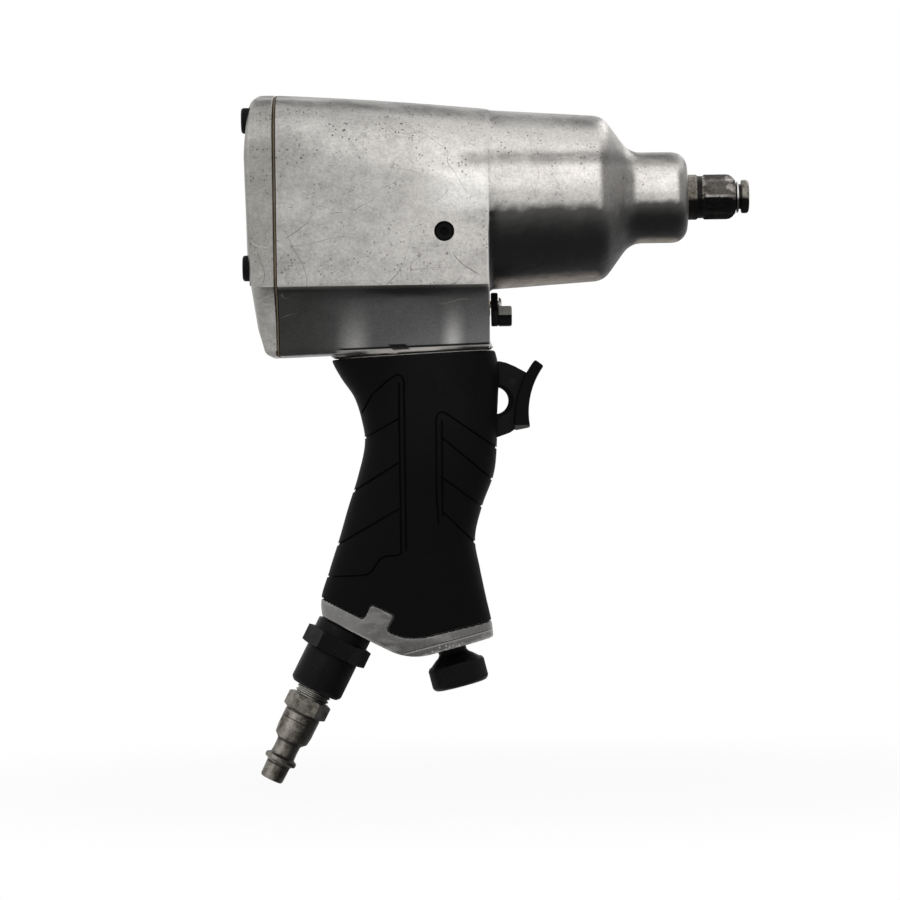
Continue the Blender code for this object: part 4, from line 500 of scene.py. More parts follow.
def handle_edges(height):
    """Rear and front X of the handle at a height, on smooth curves through its stations."""
    last = len(HANDLE_STATIONS) - 1
    for i in range(last):
        top, low = HANDLE_STATIONS[i], HANDLE_STATIONS[i + 1]
        if low[0] <= height <= top[0] or i == last - 1:
            share = (top[0] - height) / (top[0] - low[0])
            before, after = HANDLE_STATIONS[max(i - 1, 0)], HANDLE_STATIONS[min(i + 2, last)]
            return tuple(eased(before[k], top[k], low[k], after[k], share) for k in (1, 2))
    raise ValueError("height off the handle")


def handle_ring(height, sizes, inset=0.0, tilt=0.0, points=96):
    """A rounded-oval section of the handle, inset from the rubber's outside, and higher in front by the tilt."""
    rear, front = handle_edges(height)
    middle, half_length = (rear + front) / 2, (front - rear) / 2 - inset
    depth = (HANDLE_STATIONS[0][0] - height) / (HANDLE_STATIONS[0][0] - HANDLE_STATIONS[-1][0])
    half_width = sizes.half_width - sizes.waist * sin(pi * depth) - inset
    ring = []
    for i in range(points):
        along, side = cos(2 * pi * i / points), sin(2 * pi * i / points)
        x = copysign(half_length * abs(along) ** OVAL, along)
        y = copysign(half_width * abs(side) ** OVAL, side)
        ring.append((middle + x, y, height + tilt * (x + half_length) / (2 * half_length)))
    return ring


def handle_form(name, top, low, step, sizes, inset=0.0, points=96):
    """The handle between two heights, drawn in by an inset."""
    count = round((top - low) / step)
    heights = [between(top, low, i / count) for i in range(count + 1)]
    return lofted(name, [handle_ring(height, sizes, inset, points=points) for height in heights])


def corner_off(before, corner, after, reach):
    """Points that round a corner off, this far along both of its sides."""
    start, end = (corner + (side - corner).normalized() * reach for side in (before, after))
    return [start * (1 - t) ** 2 + corner * 2 * t * (1 - t) + end * t * t for t in (0, 0.25, 0.5, 0.75, 1)]


def flange_outline(sizes, grow):
    """Side outline of the V-shaped foot with its tab, with every upper edge moved out to grow."""
    reach, radius, tab_at = 0.06, 0.022, 0.0168
    up_rear, up_front = sizes.flange_rear + grow, sizes.flange_front + grow
    rear, front = FLANGE_VERTEX - INLET_SIDE * reach, FLANGE_VERTEX + KNOB_SIDE * reach
    bend, lean = (INLET_TILT + KNOB_TILT) / 2, (INLET_TILT - KNOB_TILT) / 2
    inwards = Vector((sin(lean), 0, cos(lean)))
    centre = FLANGE_VERTEX + inwards * (radius / cos(bend))
    round_vertex = arc((centre.x, centre.z), radius, -pi / 2 - INLET_TILT, -pi / 2 + KNOB_TILT, 12)
    vertex = [Vector((x, 0, z)) for x, z in round_vertex]
    inner = FLANGE_VERTEX + inwards * (max(up_rear, up_front) / cos(bend) + 0.0009)
    tab_in = FLANGE_VERTEX - INLET_SIDE * (tab_at - sizes.tab_width / 2 - grow)
    tab_out = FLANGE_VERTEX - INLET_SIDE * (tab_at + sizes.tab_width / 2 + grow)
    tab_up = INLET_UP * (up_rear + sizes.tab_height)
    over = [
        front + KNOB_UP * up_front, inner, tab_in + INLET_UP * up_rear, tab_in + tab_up,
        tab_out + tab_up, tab_out + INLET_UP * up_rear, rear + INLET_UP * up_rear,
    ]
    points = [rear, *vertex, front, over[0]]
    for i, rounding in enumerate((0.0060, 0.0016, 0.0014, 0.0014, 0.0016)):
        points += corner_off(*over[i : i + 3], rounding)
    return [(p.x, p.z) for p in points + over[-1:]]


def below_flange(name):
    """A form round all that lies under the foot, and a little of the foot."""
    reach, lift = 0.06, 0.003
    drop = Vector((0, 0, -reach))
    rear, front = FLANGE_VERTEX - INLET_SIDE * reach, FLANGE_VERTEX + KNOB_SIDE * reach
    corners = (rear, FLANGE_VERTEX, front, front + drop, rear + drop)
    return side_prism(name, [(p.x, p.z + lift) for p in corners], BEYOND)


# ================================================================ finishes
class Signal:
    """A number that varies over a surface. Arithmetic on it adds Math nodes."""

    def __init__(self, finish, socket):
        self.finish = finish
        self.socket = socket

    def math(self, operation, *values):
        inputs = dict(enumerate(values))
        return self.finish.node("ShaderNodeMath", {"operation": operation}, inputs)

    def __rsub__(self, other):
        return self.math("SUBTRACT", other, self)

    def __neg__(self):
        return self.math("MULTIPLY", self, -1)

    def __abs__(self):
        return self.math("ABSOLUTE", self)

    def most(self, other):
        return self.math("MAXIMUM", self, other)

    def rise(self, low, high):
        """A smooth step from 0 at low to 1 at high."""
        settings = {"interpolation_type": "SMOOTHSTEP"}
        return self.finish.node("ShaderNodeMapRange", settings, {0: self, 1: low, 2: high})

    def fall(self, low, high):
        """A smooth step from 1 at low to 0 at high."""
        return 1 - self.rise(low, high)


for method, operation in {
    "add": "ADD", "radd": "ADD", "sub": "SUBTRACT", "mul": "MULTIPLY", "rmul": "MULTIPLY", "pow": "POWER",
}.items():
    setattr(Signal, f"__{method}__", lambda self, other, kind=operation: self.math(kind, self, other))


class Finish:
    """A material on its way: the shader's own sockets first, then what varies."""

    def __init__(self, name, **sockets):
        self.material = bpy.data.materials.new(name + "_finish")
        self.material.use_nodes = True
        self.tree = self.material.node_tree
        self.shader = self.tree.nodes["Principled BSDF"]
        for socket, value in sockets.items():
            self.shader.inputs[socket.replace("_", " ")].default_value = value
        self.place = self.node("ShaderNodeTexCoord", {}, {}, "Object")

    def node(self, kind, settings, inputs, output=0):
        made = self.tree.nodes.new(kind)
        for setting, value in settings.items():
            setattr(made, setting, value)
        for key, value in inputs.items():
            if isinstance(value, Signal):
                self.tree.links.new(value.socket, made.inputs[key])
            else:
                made.inputs[key].default_value = value
        return Signal(self, made.outputs[output])

    def axes(self, vector=None):
        """The three parts of a vector, or of the place on the piece."""
        return [self.node("ShaderNodeSeparateXYZ", {}, {0: vector or self.place}, i) for i in range(3)]

    def facing(self):
        """The three parts of the surface's direction in the tool's own frame."""
        return self.axes(self.node("ShaderNodeTexCoord", {}, {}, "Normal"))

    def moved(self, scale=(1, 1, 1), turn=(0, 0, 0), location=(0, 0, 0), vector=None):
        """The place on the piece, stretched, turned and shifted."""
        inputs = {"Vector": vector or self.place, "Scale": scale, "Rotation": turn, "Location": location}
        return self.node("ShaderNodeMapping", {}, inputs)

    def noise(self, size, detail, rough, vector=None, distortion=0.0):
        """Clouds whose features are about this many metres across."""
        values = vector or self.place, 1 / size, detail, rough, distortion
        inputs = dict(zip(("Vector", "Scale", "Detail", "Roughness", "Distortion"), values))
        return self.node("ShaderNodeTexNoise", {}, inputs)

    def mark(self, name):
        """A value that is stored at the mesh's corners."""
        return self.node("ShaderNodeAttribute", {"attribute_name": name}, {}, "Fac")

    def lean(self):
        """How far the surface faces rearwards, square to the inlet's axis."""
        facing_x, _, facing_z = self.facing()
        return facing_z * INLET_UP.x - facing_x * INLET_UP.z

    def cells(self, size, output):
        return self.node("ShaderNodeTexVoronoi", {}, {"Vector": self.place, "Scale": 1 / size}, output)

    def pits(self, size, share, width):
        """Small round spots in a share of the cells."""
        chosen = self.axes(self.cells(size, "Color"))[0].rise(1 - share, 1 - share + 0.01)
        return self.cells(size, "Distance").fall(width * 0.5, width) * chosen

    def scratches(self, size, width, keep, seed=0.0, vector=None):
        """Thin wandering lines, broken up by a second cloud."""
        shifted = self.moved(location=(seed, seed * 1.7, seed * 0.6), vector=vector)
        line = abs(self.noise(size, 1.0, 0.4, shifted, 0.6) - 0.5).fall(width * 0.3, width)
        kept = self.noise(size * 0.8, 2.0, 0.5, self.moved(location=(seed + 3, 1, 2))).rise(keep, keep + 0.08)
        return line * kept

    def mixed(self, factor, first, second):
        """A colour that goes from first to second with the factor."""
        inputs = {0: factor, 6: rgba(first), 7: rgba(second)}
        return self.node("ShaderNodeMix", {"data_type": "RGBA", "clamp_factor": True}, inputs, 2)

    def layered(self, tone, *layers):
        """A colour with others laid over it in turn, each with its mask."""
        for mask, over in layers:
            tone = self.mixed(mask, tone, over)
        return tone

    def shaded(self, picture, factor):
        """A colour made darker or lighter by a factor."""
        grey = self.node("ShaderNodeCombineXYZ", {}, {0: factor, 1: factor, 2: factor})
        return self.node("ShaderNodeVectorMath", {"operation": "MULTIPLY"}, {0: picture, 1: grey})

    def bump(self, height, distance, normal=None):
        inputs = {"Height": height, "Distance": distance}
        if normal:
            inputs["Normal"] = normal
        return self.node("ShaderNodeBump", {}, inputs)

    def done(self, **varying):
        for socket, signal in varying.items():
            self.tree.links.new(signal.socket, self.shader.inputs[socket.replace("_", " ")])
        return self.material


def rgba(value):
    """A colour for a socket. One number stands for a grey."""
    if isinstance(value, Signal):
        return value
    return (value, value, value, 1.0) if isinstance(value, float) else (*value[:3], 1.0)


def cast_aluminium(colours):
    """Tumbled aluminium: pitted along the top and scratched low down, with painted highlights, a painted dark
    reflection on the top and painted shade underneath.
    """
    f = Finish("cast_aluminium", Metallic=0.88, IOR=1.45)
    x, _, z = f.axes()
    facing_x, _, facing_z = f.facing()
    wander = (f.noise(0.007, 3.0, 0.6) - 0.5) * 0.14
    barrel = x.rise(BODY_FRONT - 0.0002, BODY_FRONT + 0.0002)
    cover = x.fall(COVER_FRONT - 0.0001, COVER_FRONT + 0.0001)
    foot = z.fall(-0.1250, -0.1200)
    patches = f.noise(0.020, 5.0, 0.62).rise(0.34, 0.68)
    smears = f.noise(0.008, 5.0, 0.70, f.moved((0.4, 1, 1), (0, 0.5, 0))).rise(0.36, 0.66)
    fine = f.noise(0.0028, 5.0, 0.75).rise(0.34, 0.68)
    grit = f.noise(0.0009, 4.0, 0.75).rise(0.30, 0.70)
    grain = f.noise(0.0005, 2.0, 0.5)

    # painted highlights on the faces that tilt a little upwards, near the body's front and just short of the top,
    # painted dark reflection on the top and painted shade on the barrel's forward faces; the tone is lighter
    # towards the front
    light = x.rise(-0.200, -0.085) * (1 - foot * 0.4)
    mottle = patches * 0.40 + smears * 0.35 + fine * 0.25
    # painted highlight on the faces that tilt a little upwards
    shine = facing_z.rise(0.0, 0.12) * facing_z.fall(0.60, 0.86) * x.rise(-0.150, -0.090)
    streak = abs(z - 0.0136 + wander * 0.012).fall(0.0006, 0.0042) * x.rise(-0.1080, -0.1020)
    # painted highlight on the flat side near the body's front
    painted_highlight = x.rise(-0.1240, -0.1060) * abs(z - 0.0030 + wander * 0.03).fall(0.0045, 0.0105) * (1 - barrel)
    # painted dark reflection on the upward faces, in patches
    crown = facing_z.rise(0.74, 0.90)
    # painted thin highlight on the faces just short of the very top
    painted_gleam = facing_z.rise(0.90, 0.965) * facing_z.fall(0.980, 0.999)
    # painted shade on the barrel's forward-facing faces
    forward_shade = facing_x.rise(0.20, 0.50) * facing_x.fall(0.90, 0.97) * facing_z.fall(0.35, 0.75) * barrel
    tone = f.layered(
        colours.casting,
        (mottle, colours.casting_dull),
        (light * (0.35 + 0.65 * (1 - mottle)), (0.62, 0.60, 0.575)),
        (shine * (0.30 + 0.70 * smears) * 0.75, (0.78, 0.745, 0.71)),
        (cover * (0.45 + 0.55 * patches) * 0.80, (0.285, 0.275, 0.255)),
        (streak * (0.50 + 0.40 * smears), (0.20, 0.195, 0.185)),
        (painted_highlight * (0.35 + 0.35 * smears), (0.88, 0.865, 0.835)),
        (crown * (0.60 + 0.35 * patches), (0.115, 0.113, 0.110)),
        (painted_gleam * (0.25 + 0.75 * smears) * 0.7, (0.50, 0.49, 0.47)),
        (forward_shade * 0.72, (0.070, 0.068, 0.066)),
    )
    tone = f.shaded(tone, 0.86 + 0.28 * grit)

    # painted shade on the downward faces of the barrel and the nose, darkest beside the body's front, with a warm
    # painted reflection along the lowest strip
    sunk = -facing_z + wander
    underside_shade = sunk.rise(0.05, 0.19) * barrel
    dark = f.layered(
        0.0115,
        (sunk.fall(-0.04, 0.75) ** 3.0, (0.15, 0.147, 0.142)),
        (x.fall(BODY_FRONT, BODY_FRONT + 0.0045) * 0.85, 0.006),
        ((-facing_z).rise(0.86, 0.97) * (0.45 + 0.55 * smears) * 0.80, (0.34, 0.285, 0.235)),
    )

    # painted shade in the smooth hollow sweep below the crease, lighter towards the front and lower down, with
    # two painted highlights
    sweep = z.fall(-0.0336, -0.0322) * z.rise(-0.0600, -0.0590) * (1 - barrel) * (1 - cover)
    low = z.fall(-0.0560, -0.0330) ** 1.6
    sweep_shade = f.layered(
        (0.021, 0.021, 0.0205),
        (x.rise(-0.166, -0.143), (0.062, 0.063, 0.063)),
        (x.rise(-0.145, -0.100) * low * 0.8, (0.155, 0.157, 0.160)),
        *(
            (abs(x - middle + wander * 0.008).fall(0.0, reach) * low * strength, (0.46, 0.455, 0.44))
            for middle, reach, strength in ((-0.1462, 0.0080, 0.45), (-0.1100, 0.0055, 0.90))
        ),
    )
    sweep_shade = f.shaded(sweep_shade, 0.88 + 0.24 * grit)

    # the bright strip along the neck, the painted shadow line over it and the tear in the rubber there
    over = z - (x * 0.0289 - 0.05205)
    along = x.rise(-0.1540, -0.1500) * (1 - barrel)
    strip = over.fall(0.0012, 0.0014) * over.rise(-0.0022, -0.0020) * along
    # painted shadow line over the strip, where the casting meets the rubber
    line = abs(over - 0.0015).fall(0.0003, 0.0005) * along
    torn = abs(x + 0.1286 + over * 0.8).fall(0.0026, 0.0038) * over.fall(0.0024, 0.0028) * along
    # painted highlight along the body's front edge
    edge = x.rise(BODY_FRONT - 0.0013, BODY_FRONT - 0.0006) * (1 - barrel) * z.fall(0.004, 0.007)

    # pits and scratches
    top = z.rise(0.004, 0.032)
    specks = f.pits(0.0012, 0.34, 0.36).most(f.pits(0.0026, 0.18, 0.24))
    crowded = f.noise(0.010, 3.0, 0.6).rise(0.44, 0.62)
    clear = (1 - underside_shade * 0.85) * (1 - sweep * 0.8) * (1 - foot)
    pitted = specks * (crowded * 0.65 + top * 0.35) * clear
    lines = f.scratches(0.034, 0.0021, 0.46).most(f.scratches(0.012, 0.0040, 0.55, 4.0))
    lines = lines.most(f.scratches(0.016, 0.0034, 0.50, 7.0, f.moved((0.45, 1, 1), (0, 0.6, 0))))
    scored = lines * (1 - top * 0.6) * clear * (1 - barrel * 0.65)
    rubs = f.scratches(0.010, 0.006, 0.52, 2.5, f.moved((0.3, 1, 1), (0, -0.7, 0))) * (1 - barrel) * (1 - foot)
    tone = f.layered(
        tone,
        (underside_shade, dark),
        (sweep * 0.96, sweep_shade),
        (sweep * f.scratches(0.030, 0.0035, 0.56, 9.0) * 0.6, (0.34, 0.32, 0.26)),
        (strip * (0.55 + 0.45 * smears), (0.52, 0.50, 0.47)),
        (line.most(torn * over.rise(0.0002, 0.0008)) * 0.95, 0.004),
        (edge * (1 - sweep) * 0.6, (0.72, 0.70, 0.67)),
        (rubs * (1 - sweep) * 0.35, (0.80, 0.78, 0.75)),
        (pitted * 0.80, (0.055, 0.050, 0.045)),
        (scored * 0.70, (0.10, 0.095, 0.088)),
        (foot * 0.92, foot_metal(f, fine, grit, smears, specks)),
    )
    roughness = 0.34 + patches * 0.10 + fine * 0.10 + pitted * 0.2 + underside_shade * 0.04 - sweep * 0.05
    height = fine * 0.4 * (1 - sweep * 0.7) + grain * 0.25 - pitted * 1.3 - scored * 0.6
    normal = f.bump(f.noise(0.010, 2.0, 0.5), 0.0003)
    return f.done(Base_Color=tone, Roughness=roughness, Normal=f.bump(height, 0.00008, normal))


def foot_metal(f, fine, grit, smears, specks):
    """The foot's colour: greyer metal with a parting line, a bright lip beside it and lighter lower edges."""
    x, _, z = f.axes()
    over_front = x * KNOB_UP.x + z * KNOB_UP.z - FLANGE_VERTEX.dot(KNOB_UP)
    over_rear = x * INLET_UP.x + z * INLET_UP.z - FLANGE_VERTEX.dot(INLET_UP)
    front = x.rise(-0.1310, -0.1290)
    parting, lip = (abs(over_front - height).fall(0.0001, 0.0003) * front for height in (0.0031, 0.0027))
    rim = over_front.fall(0.0003, 0.0012).most(over_rear.fall(0.0003, 0.0011) * x.fall(-0.132, -0.129))
    return f.layered(
        (0.044, 0.0435, 0.0425),
        (fine * 0.5 + grit * 0.5, (0.105, 0.104, 0.102)),
        (x.fall(-0.150, -0.140) * 0.6 + z.rise(-0.1635, -0.1615) * 0.3, (0.18, 0.178, 0.172)),
        (specks * over_front.fall(0.0026, 0.0032) * 0.8, (0.45, 0.44, 0.42)),
        (smears.rise(0.55, 0.95) * 0.35, (0.30, 0.296, 0.285)),
        (rim * (0.2 + 0.6 * fine), (0.42, 0.41, 0.39)),
        (parting * 0.85, 0.015),
        (lip * 0.5, (0.42, 0.41, 0.39)),
    )


def black_rubber(colours):
    """Moulded rubber: nearly black and finely grained, with a painted highlight on the upper middle of the grip
    and painted shade at the bottoms of the grooves.
    """
    f = Finish("rubber", Metallic=0.0, Specular_IOR_Level=0.03)
    x, _, z = f.axes()
    clouds = f.noise(0.016, 4.0, 0.6).rise(0.4, 0.7)
    dust = f.noise(0.0022, 3.0, 0.7).rise(0.50, 0.75) * clouds
    # painted highlight on the upper middle of the grip
    rubbed = z.rise(-0.105, -0.072) * abs(x + 0.117).fall(0.004, 0.022)
    tone = f.layered(
        colours.rubber,
        (dust * 0.4 + clouds * 0.2, (0.018, 0.0175, 0.0175)),
        (rubbed * (0.4 + 0.4 * clouds), (0.030, 0.030, 0.031)),
        # painted shade at the bottoms of the grooves
        (f.mark("sunk") * 0.9, 0.0012),
    )
    height = f.noise(0.0004, 2.0, 0.6) * 0.6 + f.noise(0.003, 2.0, 0.5) * 0.6
    return f.done(Base_Color=tone, Roughness=0.52 + clouds * 0.14, Normal=f.bump(height, 0.00008))


def black_steel(colours):
    """Black oxide: soft sheen, dusty in the hollows, worn to bare metal in spots and on the lever's flat, lighter
    on the knob's worn crests, which also carry a painted highlight, with a painted highlight along the inlet
    bushing's rear and painted shade along its front.
    """
    f = Finish("black_steel", Specular_IOR_Level=0.07)
    x, _, z = f.axes()
    clouds = f.noise(0.006, 4.0, 0.6).rise(0.42, 0.72)
    fine = f.noise(0.0009, 3.0, 0.65).rise(0.45, 0.75)
    rubbed = f.pits(0.0016, 0.10, 0.30).most(f.scratches(0.008, 0.004, 0.62, 2.0))
    inlet = x.fall(INLET_ORIGIN.x + 0.012, INLET_ORIGIN.x + 0.016)
    lean = f.lean()
    # painted shade along the inlet bushing's front side
    shade = inlet * lean.fall(-0.75, -0.10) * z.rise(-0.2200, -0.2190)
    # painted highlight along the inlet bushing's rear side
    painted_gleam = inlet * abs(lean - 0.30).fall(0.05, 0.34) * z.fall(-0.150, -0.140)
    bare = x.rise(LEVER_FRONT, LEVER_FRONT + 0.0004) * z.rise(-0.0430, -0.0426) * z.fall(-0.0384, -0.0380)
    tone = f.layered(
        colours.black,
        (clouds * 0.5 + fine * 0.35, (0.020, 0.0195, 0.019)),
        (rubbed * 0.35, (0.060, 0.058, 0.056)),
        (painted_gleam * (0.3 + 0.5 * clouds), (0.036, 0.036, 0.037)),
        # the knob's knurl crests: worn, and lightened further as a painted highlight
        (f.mark("worn").rise(0.55, 0.95) * (0.4 + 0.6 * clouds), (0.050, 0.046, 0.044)),
        (shade * 0.9, 0.0012),
        (bare * (0.75 + 0.25 * fine), (0.86, 0.84, 0.80)),
    )
    height = fine * 0.5 + f.noise(0.0003, 1.0, 0.5) * 0.4 - rubbed * 0.5
    roughness = 0.36 + clouds * 0.18 + fine * 0.08 + shade * 0.3
    return f.done(Base_Color=tone, Roughness=roughness, Metallic=bare * 0.02, Normal=f.bump(height, 0.00004))


def worn_steel(colours):
    """Hardened steel: dark with grease and oxide, rubbed light where a socket or a coupler has run, with painted
    shade under the drive and painted light and shade on the plug.
    """
    f = Finish("worn_steel", Specular_IOR_Level=0.05)
    x, y, z = f.axes()
    clouds = f.noise(0.0036, 4.0, 0.65).rise(0.42, 0.62)
    stains = f.noise(0.0075, 3.0, 0.7, distortion=0.5).rise(0.46, 0.66)
    specks = f.pits(0.0007, 0.30, 0.4)
    fine = f.noise(0.0005, 3.0, 0.6)
    grit = f.noise(0.0011, 4.0, 0.7).rise(0.35, 0.68)

    # the drive: a grease-darkened journal and neck, flats with rubbed middles and edges, painted shade in the
    # ring's groove and painted shade on its downward faces
    on_drive = x.rise(NOSE_FACE - 0.002, NOSE_FACE)
    journal = on_drive * x.fall(-0.0200, -0.0197)
    neck = x.rise(-0.0196, -0.0192) * x.fall(-0.0176, -0.0172) * on_drive
    flats = on_drive * x.rise(-0.0175, -0.0170) * x.fall(-0.0052, -0.0048)
    # painted shade on the drive's downward faces
    low = (-f.facing()[2]).rise(0.04, 0.22) * on_drive
    rubbed = f.noise(0.0036, 2.0, 0.5, f.moved((1, 1, 1.4), location=(0.0007, 0, 0.0011))).rise(0.58, 0.66)
    edge = abs(z).fall(0.0002, 0.0006)
    # painted shade in the retaining ring's groove
    groove = ((y**2 + z**2) ** 0.5).fall(0.0050, 0.0056) * x.rise(-0.0055, -0.0050) * x.fall(-0.0030, -0.0026)

    # the plug: a painted highlight along its rear, painted shade along its front, and painted shadow lines at its
    # shoulders
    plug = z.fall(-0.1700, -0.1650)
    lean = f.lean()
    along = x * INLET_UP.x + z * INLET_UP.z - INLET_ORIGIN.dot(INLET_UP)
    # painted shadow lines at the plug's shoulders, along the inlet's axis
    corners = (-0.0358, 0.0005), (-0.0388, 0.0003), (-0.0472, 0.0008), (-0.0532, 0.0006), (-0.0564, 0.0006)
    tone = f.layered(
        colours.steel,
        (clouds * 0.8, colours.steel_dark),
        (stains * 0.55, (0.060, 0.048, 0.038)),
        (flats * 0.75, f.mixed(grit, (0.032, 0.029, 0.027), (0.092, 0.086, 0.082))),
        (flats * rubbed * 0.75, (0.36, 0.33, 0.32)),
        (flats * edge * (0.25 + 0.6 * clouds), (0.42, 0.40, 0.37)),
        (journal * 0.8, f.mixed(grit, (0.075, 0.062, 0.048), (0.26, 0.245, 0.21))),
        (neck * 0.9, (0.008, 0.007, 0.007)),
        (groove * 0.9, 0.006),
        # painted highlight along the plug's rear
        (plug * abs(lean - 0.42).fall(0.04, 0.30) * 0.6, (0.40, 0.38, 0.34)),
        (along.rise(-0.0292, -0.0288) * plug * 0.5, (0.55, 0.54, 0.50)),
        # painted shade along the plug's front
        (plug * lean.fall(-0.55, 0.20) * 0.93, (0.007, 0.0065, 0.006)),
        *(
            (plug * abs(along - corner).fall(reach * 0.4, reach) * 0.75, (0.010, 0.009, 0.008))
            for corner, reach in corners
        ),
        (specks * 0.6, (0.030, 0.022, 0.018)),
        (low * 0.96, (0.004, 0.0035, 0.0035)),
    )
    height = clouds * 0.4 + fine * 0.5 + grit * 0.4 - specks * 0.9
    roughness = 0.36 + clouds * 0.15 + stains * 0.12 + low * 0.2 - flats * rubbed * 0.1
    metallic = 0.85 - low * 0.8 - specks * 0.4 * (1 - low) - neck * 0.4
    return f.done(Base_Color=tone, Roughness=roughness, Metallic=metallic.most(0), Normal=f.bump(height, 0.00004))


def turned_metal(name, light, dark, roughness):
    """Machined metal: fine lathe lines and a little tarnish, with painted shade on the downward faces of the
    drive's ring.
    """
    f = Finish(name, Specular_IOR_Level=0.5)
    clouds = f.noise(0.004, 3.0, 0.6).rise(0.42, 0.68)
    grain = f.noise(0.0006, 2.0, 0.5, f.moved((6, 1, 1)))
    spots = f.pits(0.0011, 0.14, 0.3)
    # painted shade on the downward faces at the drive's ring
    lower_shade = (-f.facing()[2]).rise(0.0, 0.25) * f.axes()[0].rise(-0.0060, -0.0055)
    tone = f.layered(light, (clouds * 0.7 + spots * 0.3, dark), (lower_shade * 0.95, (0.010, 0.009, 0.009)))
    return f.done(
        Base_Color=tone, Roughness=roughness + clouds * 0.14 + grain * 0.08, Metallic=1 - clouds * 0.08,
        Normal=f.bump(grain * 0.5 - spots * 0.6, 0.00003),
    )


def black_plastic():
    """Moulded plastic: finely textured, lighter where a finger has rubbed it smooth, with painted shade round the
    window.
    """
    f = Finish("black_plastic", Specular_IOR_Level=0.06)
    x, y, z = f.axes()
    clouds = f.noise(0.007, 3.0, 0.6).rise(0.4, 0.7)
    fine = f.noise(0.0004, 2.0, 0.6)
    pad, rim, dimple = (
        ((x - centre_x) ** 2 + (z - centre_z) ** 2) ** 0.5
        for centre_x, centre_z in (PAD_CENTRE, RIM_CENTRE, DIMPLE_CENTRE)
    )
    on_pad = abs(y).rise(0.0024, 0.0027).most(pad.fall(0.0325, 0.0330))
    foot = z.fall(-0.0838, -0.0832) * on_pad
    tone = f.layered(
        (0.022, 0.022, 0.024),
        (clouds * 0.6 + fine * 0.3, (0.040, 0.040, 0.044)),
        # painted shade round the window
        (rim.fall(0.0058, 0.0062) * 0.9, 0.004),
        (dimple.fall(0.0013, 0.0017) * 0.7, (0.050, 0.050, 0.055)),
        (on_pad * 0.9, (0.0030, 0.0026, 0.0026)),
        (foot * (0.55 + 0.45 * clouds), (0.38, 0.36, 0.34)),
    )
    roughness = 0.50 + clouds * 0.12 - on_pad * 0.12
    return f.done(Base_Color=tone, Roughness=roughness, Normal=f.bump(fine, 0.00004))


def gasket_paper():
    """Pressed fibre: tan and mottled, darkened by oil."""
    f = Finish("gasket_paper", Specular_IOR_Level=0.25)
    fibres = f.noise(0.0007, 4.0, 0.7, f.moved((1, 1, 0.3))).rise(0.35, 0.7)
    oil = f.noise(0.009, 3.0, 0.6).rise(0.45, 0.65)
    tone = f.layered((0.46, 0.37, 0.26), (fibres * 0.6, (0.30, 0.225, 0.145)), (oil * 0.5, (0.16, 0.12, 0.08)))
    return f.done(Base_Color=tone, Roughness=0.8 - oil * 0.2, Normal=f.bump(fibres, 0.00006))


def felt():
    """Exhaust felt: matted fibres with oil soaked in."""
    f = Finish("felt", Specular_IOR_Level=0.2)
    fibres = f.noise(0.0004, 4.0, 0.75, distortion=1.5).rise(0.35, 0.65)
    oil = f.noise(0.0035, 3.0, 0.6).rise(0.4, 0.65)
    tone = f.layered((0.20, 0.19, 0.165), (fibres, (0.10, 0.095, 0.08)), (oil * 0.6, (0.04, 0.036, 0.03)))
    return f.done(Base_Color=tone, Roughness=0.9 - oil * 0.15, Normal=f.bump(fibres, 0.00012))


def phenolic():
    """Laminated vane board: brown with woven layers on edge."""
    f = Finish("phenolic", Specular_IOR_Level=0.4)
    weave = f.noise(0.0008, 3.0, 0.6, f.moved((0.2, 1, 1))).rise(0.35, 0.65)
    clouds = f.noise(0.006, 3.0, 0.6).rise(0.4, 0.7)
    tone = f.mixed(weave * 0.7 + clouds * 0.3, (0.20, 0.095, 0.038), (0.095, 0.045, 0.018))
    return f.done(Base_Color=tone, Roughness=0.45 + weave * 0.15, Normal=f.bump(weave, 0.00003))


# ================================================================ operators
def sizes_of(context, group):
    return getattr(context.scene, "wrench_" + group)


class WRENCH_OT_finishes(bpy.types.Operator):
    """Make the wrench's finishes"""

    bl_idname = "wrench.finishes"
    bl_label = "Finishes"

    def execute(self, context):
        colours = sizes_of(context, "colours")
        for painted in (cast_aluminium, black_rubber, black_steel, worn_steel):
            painted(colours)
        turned_metal("bright_steel", (0.62, 0.61, 0.59), (0.36, 0.35, 0.33), 0.24)
        turned_metal("bearing_steel", (0.60, 0.61, 0.63), (0.42, 0.42, 0.43), 0.16)
        turned_metal("brass", (0.66, 0.47, 0.20), (0.40, 0.26, 0.10), 0.26)
        turned_metal("bronze", (0.50, 0.31, 0.13), (0.26, 0.15, 0.07), 0.32)
        for plain in (black_plastic, gasket_paper, felt, phenolic):
            plain()
        return {"FINISHED"}


